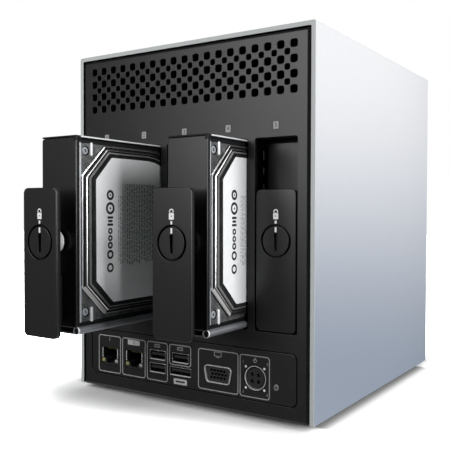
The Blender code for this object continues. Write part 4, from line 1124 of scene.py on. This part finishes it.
def build_labels():
    """The drives' foil labels with plain rings, bars and stripes."""
    shape = side_shape(FOIL)
    face = LID_FACE - LID_BACK - LID_SEAT - LID_SLOPES[-1][1]
    front = face - 0.1
    shape.plate(grown(rounded(BAND_INNER), -0.05), [], front, face + 0.1, 0.03)
    proud = front - 0.02
    shape.use(INK)
    for v, radius, line in LABEL_RINGS:
        ring = circle(RING_COLUMN, v, radius, 28)
        shape.plate(ring, [grown(ring, -line)], proud, face, 0)
    for v, radius, line in LABEL_RINGS[:2]:
        shape.plate(circle(RING_COLUMN, v, 0.6, 14), [], proud, face, 0)
    for step in range(3):
        bar = square(RING_COLUMN, 107.6 + 2.0 * step, 2.3 - 0.5 * (step % 2), 0.65, 0.3)
        shape.plate(bar, [], proud, face, 0)
    chance = random.Random(7)
    for column in range(LABEL_COLUMNS):
        shape.use(GREY_INK if column < 5 else INK)
        u = LABEL_FIRST + LABEL_PITCH * column
        v = LABEL_TOP if column > 3 else LABEL_TOP - 7.0
        while v > LABEL_END:
            length = chance.uniform(0.7, 3.2)
            shape.plate(block(u, 0.26, v - length, v, 0.1, 1), [], proud, face, 0)
            v -= length + chance.uniform(0.5, 0.9)
    shape.use(INK)
    v = STRIPES_TOP
    while v > STRIPES_END:
        width = chance.choice((0.35, 0.35, 0.7, 1.05))
        shape.plate(block(STRIPES_MIDDLE, STRIPES_HALF, v - width, v, 0.05, 1), [], proud, face, 0)
        v -= width + chance.choice((0.4, 0.4, 0.8))
    on_trays("drive_label", shape, "drive_lid")


def build_drive_chips():
    """Chips and a motor hub on the drives' boards."""
    shape = Shape(CHIP, LEFT_FACING, (-LID_FACE, DRIVE_FRONT, 0))
    for u, v, half_width, half_height in DRIVE_CHIPS:
        shape.plate(square(-u, v, half_width, half_height, 0.4), [], -0.3, 0.1, 0.1)
    shape.use(STEEL).plate(circle(-32, 106, 9), [circle(-32, 106, 3.5)], -0.2, 0.1, 0.1)
    for u in (14, 133):
        for v in (66, 141):
            shape.lathe(-u, v, [(1.6, -0.3), (2.0, -0.1), (2.0, 0.1)], 20)
    on_trays("drive_chips", shape, "circuit_board")


# Front side and underside

BUTTON_HOLE = 7.3
LIGHT_GAP = 0.3
SEAL_GAP = 0.05
SEAL_LOW = 4
SEAL_LINE = 2.5
BUTTON_PROFILE = ((5.6, 0.25), (6.4, 0.05), (6.85, 0.3), (7.0, 0.7), (7.0, 6.3), (8.5, 6.3), (8.5, 8.3))
FOOT_PROFILE = ((4.5, 0.5), (5.3, 0.4), (5.8, 0.05), (6.9, 0.0), (7.7, 0.4), (8.0, 1.2), (8.0, 3.0))


def build_front():
    """The plain front panel, its button and its light."""
    shape = Shape(HANDLE_PLASTIC, FRONT_FACING, (0, BODY_DEPTH, 0))
    button = middle("power_button").z - BASE
    low, high = span("status_lens")
    lens = block(0, high.x, low.z - BASE, high.z - BASE, 0.6)
    light = block(0, high.x + LIGHT_GAP, low.z - BASE - LIGHT_GAP, high.z - BASE + LIGHT_GAP, 0.8)
    outer = block(0, FASCIA_HALF, 0, FASCIA_TOP, 0.8)
    shape.plate(outer, [circle(0, button, BUTTON_HOLE), light], 0, FRONT_THICKNESS, FRONT_RIM, 0.25)
    inner = HALF_WIDTH - SLEEVE_WALL - SEAL_GAP
    seal = block(0, inner, SEAL_LOW, BODY_HEIGHT - SLEEVE_WALL - SEAL_GAP, 0.5)
    shape.plate(seal, [grown(seal, -SEAL_LINE)], FRONT_THICKNESS, FRONT_THICKNESS + 1, 0)
    on_unit("front_cover", shape, "black_plastic", "front_panel")
    cap = Shape(HANDLE_PLASTIC, FRONT_FACING, (0, BODY_DEPTH, 0))
    cap.lathe(0, button, BUTTON_PROFILE)
    cap.use(PRINT).plate(circle(0, button, 2.2, 28), [circle(0, button, 1.75, 28)], 0.2, 0.4, 0)
    cap.plate(square(0, button + 2.0, 0.22, 1.0, 0.1), [], 0.18, 0.4, 0)
    on_unit("button_cap", cap, "black_plastic", "power_button", body="button")
    glow = Shape(LENS, FRONT_FACING, (0, BODY_DEPTH, 0))
    glow.plate(lens, [], 0.1, 6, 0.3)
    on_unit("status_light", glow, "lens_plastic", "status_lens")


def build_wall_springs():
    """Narrow springs on the left wall of each bay, which show only where a bay stands open."""
    shape = Shape(ZINC, RIGHT_FACING)
    for bay in BAYS:
        front = WALL_HALF - SPRING_RISE - bay_x(bay)
        for low, high in SPRING_SPANS:
            outline = block(SPRING_DEPTH, SPRING_HALF, low, high, 0.2)
            shape.plate(outline, [], front, front + SPRING_RISE, 0.1)
    on_unit("wall_springs", shape, "cage_metal")


def build_feet():
    """Rubber feet with rounded edges and a shallow dish."""
    for number in range(1, 5):
        low, high = span(f"foot_{number}")
        centre = (low + high) / 2
        shape = Shape(RUBBER, DOWN_FACING, (centre.x, centre.y - REAR, low.z - BASE))
        shape.lathe(0, 0, FOOT_PROFILE)
        on_unit(f"rubber_foot_{number}", shape, "foot_rubber", f"foot_{number}")


# Camera, light and floor

def set_camera():
    """The photograph's viewpoint."""
    data = bpy.data.cameras.new("camera")
    data.sensor_width = SENSOR_WIDTH
    data.lens = FOCAL_PIXELS / FRAME_PIXELS * SENSOR_WIDTH
    data.clip_start = 0.01
    camera = add_object("camera", data)
    heading = Matrix.Rotation(CAMERA_YAW, 4, "Z") @ Matrix.Rotation(math.pi / 2 + CAMERA_PITCH, 4, "X")
    camera.matrix_world = Matrix.Translation(CAMERA_PLACE) @ heading @ Matrix.Rotation(CAMERA_ROLL, 4, "Z")
    bpy.context.scene.camera = camera


# The sky's colours by height, and how it dims to the left and on the near side
SKY_HIGH = (1.0, 1.0, 1.0)
SKY_LOW = (0.305, 0.352, 0.43)
SKY_BOUNCE = (0.8, 0.8, 0.8)
SKY_SOFTNESS = 0.30
BOUNCE_FROM = -0.30
BOUNCE_FULL = -0.75
BOUNCE_POWER = 0.7
SIDE_DARK = -0.75
SIDE_LIGHT = 0.20
SIDE_DIM = 0.16
NEAR_FROM = -0.10
NEAR_TO = 0.35
NEAR_DIM = 0.09
# The floor's tone, in metres from the casing: brighter far off, darker where the unit stands. That darkening
# is a painted shadow round the unit's foot, on top of the real shadow that the lamps cast; the contact
# values paint it darkest right under the unit, and the left, shade and right shares paint it lighter or
# darker on each side
FLOOR_REACH = 3.0
FLOOR_GAIN_NEAR = 1.05
FLOOR_GAIN_FAR = 4.5
FLOOR_FADE_FROM = 0.006
FLOOR_FADE_TO = 0.09
PAINTED_SHADOW_INSET = (0.006, 0.012, 0)
PAINTED_SHADOW_STRETCH = (1, 6, 1)
PAINTED_SHADOW_REACH = 0.030
PAINTED_SHADOW_SHARE = 0.3
FLOOR_LEFT_FADE = (-0.03, 0.02)
FLOOR_LEFT_SHARE = 1.5
FLOOR_PAINTED_SHADE_FADE = (-0.06, 0.03)
FLOOR_PAINTED_SHADE_SHARE = 0.78
FLOOR_RIGHT_FADE = (-0.003, 0.005)
FLOOR_RIGHT_SHARE = 2.0
AIM = Vector((0, 0, 0.11))
# Lamps: direction and distance from the unit, width, height, radiance, and how the casing takes part
LAMPS = {
    "front_box": ((-0.20, -0.89, 0.41), 0.9, 0.55, 0.75, 4.9, "EXCLUDE"),
    "fill_box": ((-0.62, -0.78, 0.0), 1.1, 1.5, 1.1, 0.17, None),
    "right_box": ((0.94, 0.0, 0.29), 1.0, 0.50, 0.7, 11.0, "EXCLUDE"),
    "rear_casing_box": ((0.30, -0.94, 0.10), 1.5, 2.9, 2.4, 0.45, "INCLUDE"),
    "left_casing_box": ((-0.92, 0.22, 0.32), 1.5, 2.4, 1.8, 0.35, "INCLUDE"),
}


def soft_box(name, casing, towards, away, width, height, radiance, state):
    """A rectangular lamp that faces the unit, and may leave the casing out or light it alone."""
    lamp = bpy.data.lights.new(name, "AREA")
    lamp.shape = "RECTANGLE"
    lamp.size = width
    lamp.size_y = height
    lamp.energy = radiance * math.pi * width * height
    carrier = add_object(name, lamp)
    direction = Vector(towards).normalized()
    carrier.location = AIM + direction * away
    carrier.rotation_euler = direction.to_track_quat("Z", "Y").to_euler()
    carrier.visible_camera = False
    if state:
        lit = bpy.data.collections.new(f"{name}_lit")
        lit.objects.link(casing)
        lit.collection_objects[0].light_linking.link_state = state
        carrier.light_linking.receiver_collection = lit


def light_room():
    """A white backdrop, and soft light that is brighter above, to the right and on the far side."""
    scene = bpy.context.scene
    scene.view_settings.view_transform = "Standard"
    scene.world = bpy.data.worlds.new("studio")
    scene.world.use_nodes = True
    tree = scene.world.node_tree
    tree.nodes.clear()
    direction = add_node(tree, "TexCoord").outputs["Generated"]
    x, y, z = add_node(tree, "SeparateXYZ", {"Vector": direction}).outputs
    fall = ramp(tree, z, BOUNCE_FULL, BOUNCE_FROM)
    sky = mix(tree, ramp(tree, z, -SKY_SOFTNESS, SKY_SOFTNESS), (*SKY_LOW, 1), (*SKY_HIGH, 1))
    side = ramp(tree, x, SIDE_DARK, SIDE_LIGHT, SIDE_DIM)
    near = ramp(tree, y, NEAR_FROM, NEAR_TO, NEAR_DIM)
    room = add_node(tree, "Background", {
        "Color": mix(tree, fall, (*SKY_BOUNCE, 1), sky),
        "Strength": mix(tree, fall, BOUNCE_POWER, product(tree, side, near), "FLOAT"),
    })
    backdrop = add_node(tree, "Background", {"Color": (1, 1, 1, 1)})
    choice = add_node(tree, "MixShader", {
        "Fac": add_node(tree, "LightPath").outputs["Is Camera Ray"],
        1: room.outputs["Background"],
        2: backdrop.outputs["Background"],
    })
    add_node(tree, "OutputWorld", {"Surface": choice.outputs["Shader"]})


def floor_material():
    """White paint whose tone goes with the distance from the casing, darker close to it as a painted shadow.
    """
    material = bpy.data.materials.new("floor_painted_shadow")
    material.use_nodes = True
    tree = material.node_tree
    tree.nodes.clear()
    point = add_node(tree, "TexCoord").outputs["Object"]
    centre = Vector((0, REAR + BODY_DEPTH / 2, 0)) * MM
    half_size = Vector((HALF_WIDTH, BODY_DEPTH / 2, 0)) * MM
    away = vector_math(tree, "ABSOLUTE", vector_math(tree, "SUBTRACT", point, centre))
    beyond = vector_math(tree, "SUBTRACT", away, half_size)
    outside = vector_math(tree, "MAXIMUM", beyond, (0, 0, 0))
    under = vector_math(tree, "MAXIMUM", vector_math(tree, "ADD", beyond, PAINTED_SHADOW_INSET), (0, 0, 0))
    clear = vector_math(tree, "LENGTH", vector_math(tree, "MULTIPLY", under, PAINTED_SHADOW_STRETCH))
    distance = vector_math(tree, "LENGTH", outside)
    x = add_node(tree, "SeparateXYZ", {"Vector": point}).outputs["X"]
    right = HALF_WIDTH * MM
    tone = ramp(tree, distance, FLOOR_FADE_FROM, FLOOR_FADE_TO, FLOOR_GAIN_NEAR, FLOOR_GAIN_FAR)
    # Painted shadow: darkest right under the unit, darker in front towards the left, lighter far to the left
    # and to the right
    shares = (
        ramp(tree, clear, 0.0, PAINTED_SHADOW_REACH, PAINTED_SHADOW_SHARE, 1.0),
        ramp(tree, x, *[step - right for step in FLOOR_LEFT_FADE], FLOOR_LEFT_SHARE, FLOOR_PAINTED_SHADE_SHARE),
        ramp(tree, x, *FLOOR_PAINTED_SHADE_FADE, 1.0, 1 / FLOOR_PAINTED_SHADE_SHARE),
        ramp(tree, x, *[step + right for step in FLOOR_RIGHT_FADE], 1.0, FLOOR_RIGHT_SHARE),
    )
    for share in shares:
        tone = product(tree, tone, share)
    paint = add_node(tree, "BsdfDiffuse", {"Color": tone})
    add_node(tree, "OutputMaterial", {"Surface": paint.outputs["BSDF"]})
    return material


def lay_floor():
    """A white floor with a painted contact shadow round the unit, besides the shadow that the lamps cast."""
    mesh = bpy.data.meshes.new("floor")
    corners = [(-1, -1), (1, -1), (1, 1), (-1, 1)]
    mesh.from_pydata([(x * FLOOR_REACH, y * FLOOR_REACH, 0) for x, y in corners], [], [(0, 1, 2, 3)])
    mesh.materials.append(floor_material())
    floor = add_object("floor", mesh)
    floor.visible_diffuse = False
    floor.visible_glossy = False


dress_frame()
sleeve = build_sleeve()
build_fascia()
build_port_panel()
build_port_marks()
for jack in ("lan_jack_1", "lan_jack_2"):
    build_lan_jack(jack)
for stack_node in SOCKET_STACKS:
    build_usb(stack_node)
build_vga()
build_power()
build_panel_screw()
build_handles()
build_locks()
build_faces()
build_tray_frames()
build_castings()
build_lids()
build_labels()
build_drive_chips()
build_front()
build_wall_springs()
build_feet()
set_camera()
light_room()
for lamp_name, lamp_values in LAMPS.items():
    soft_box(lamp_name, sleeve, *lamp_values)
lay_floor()
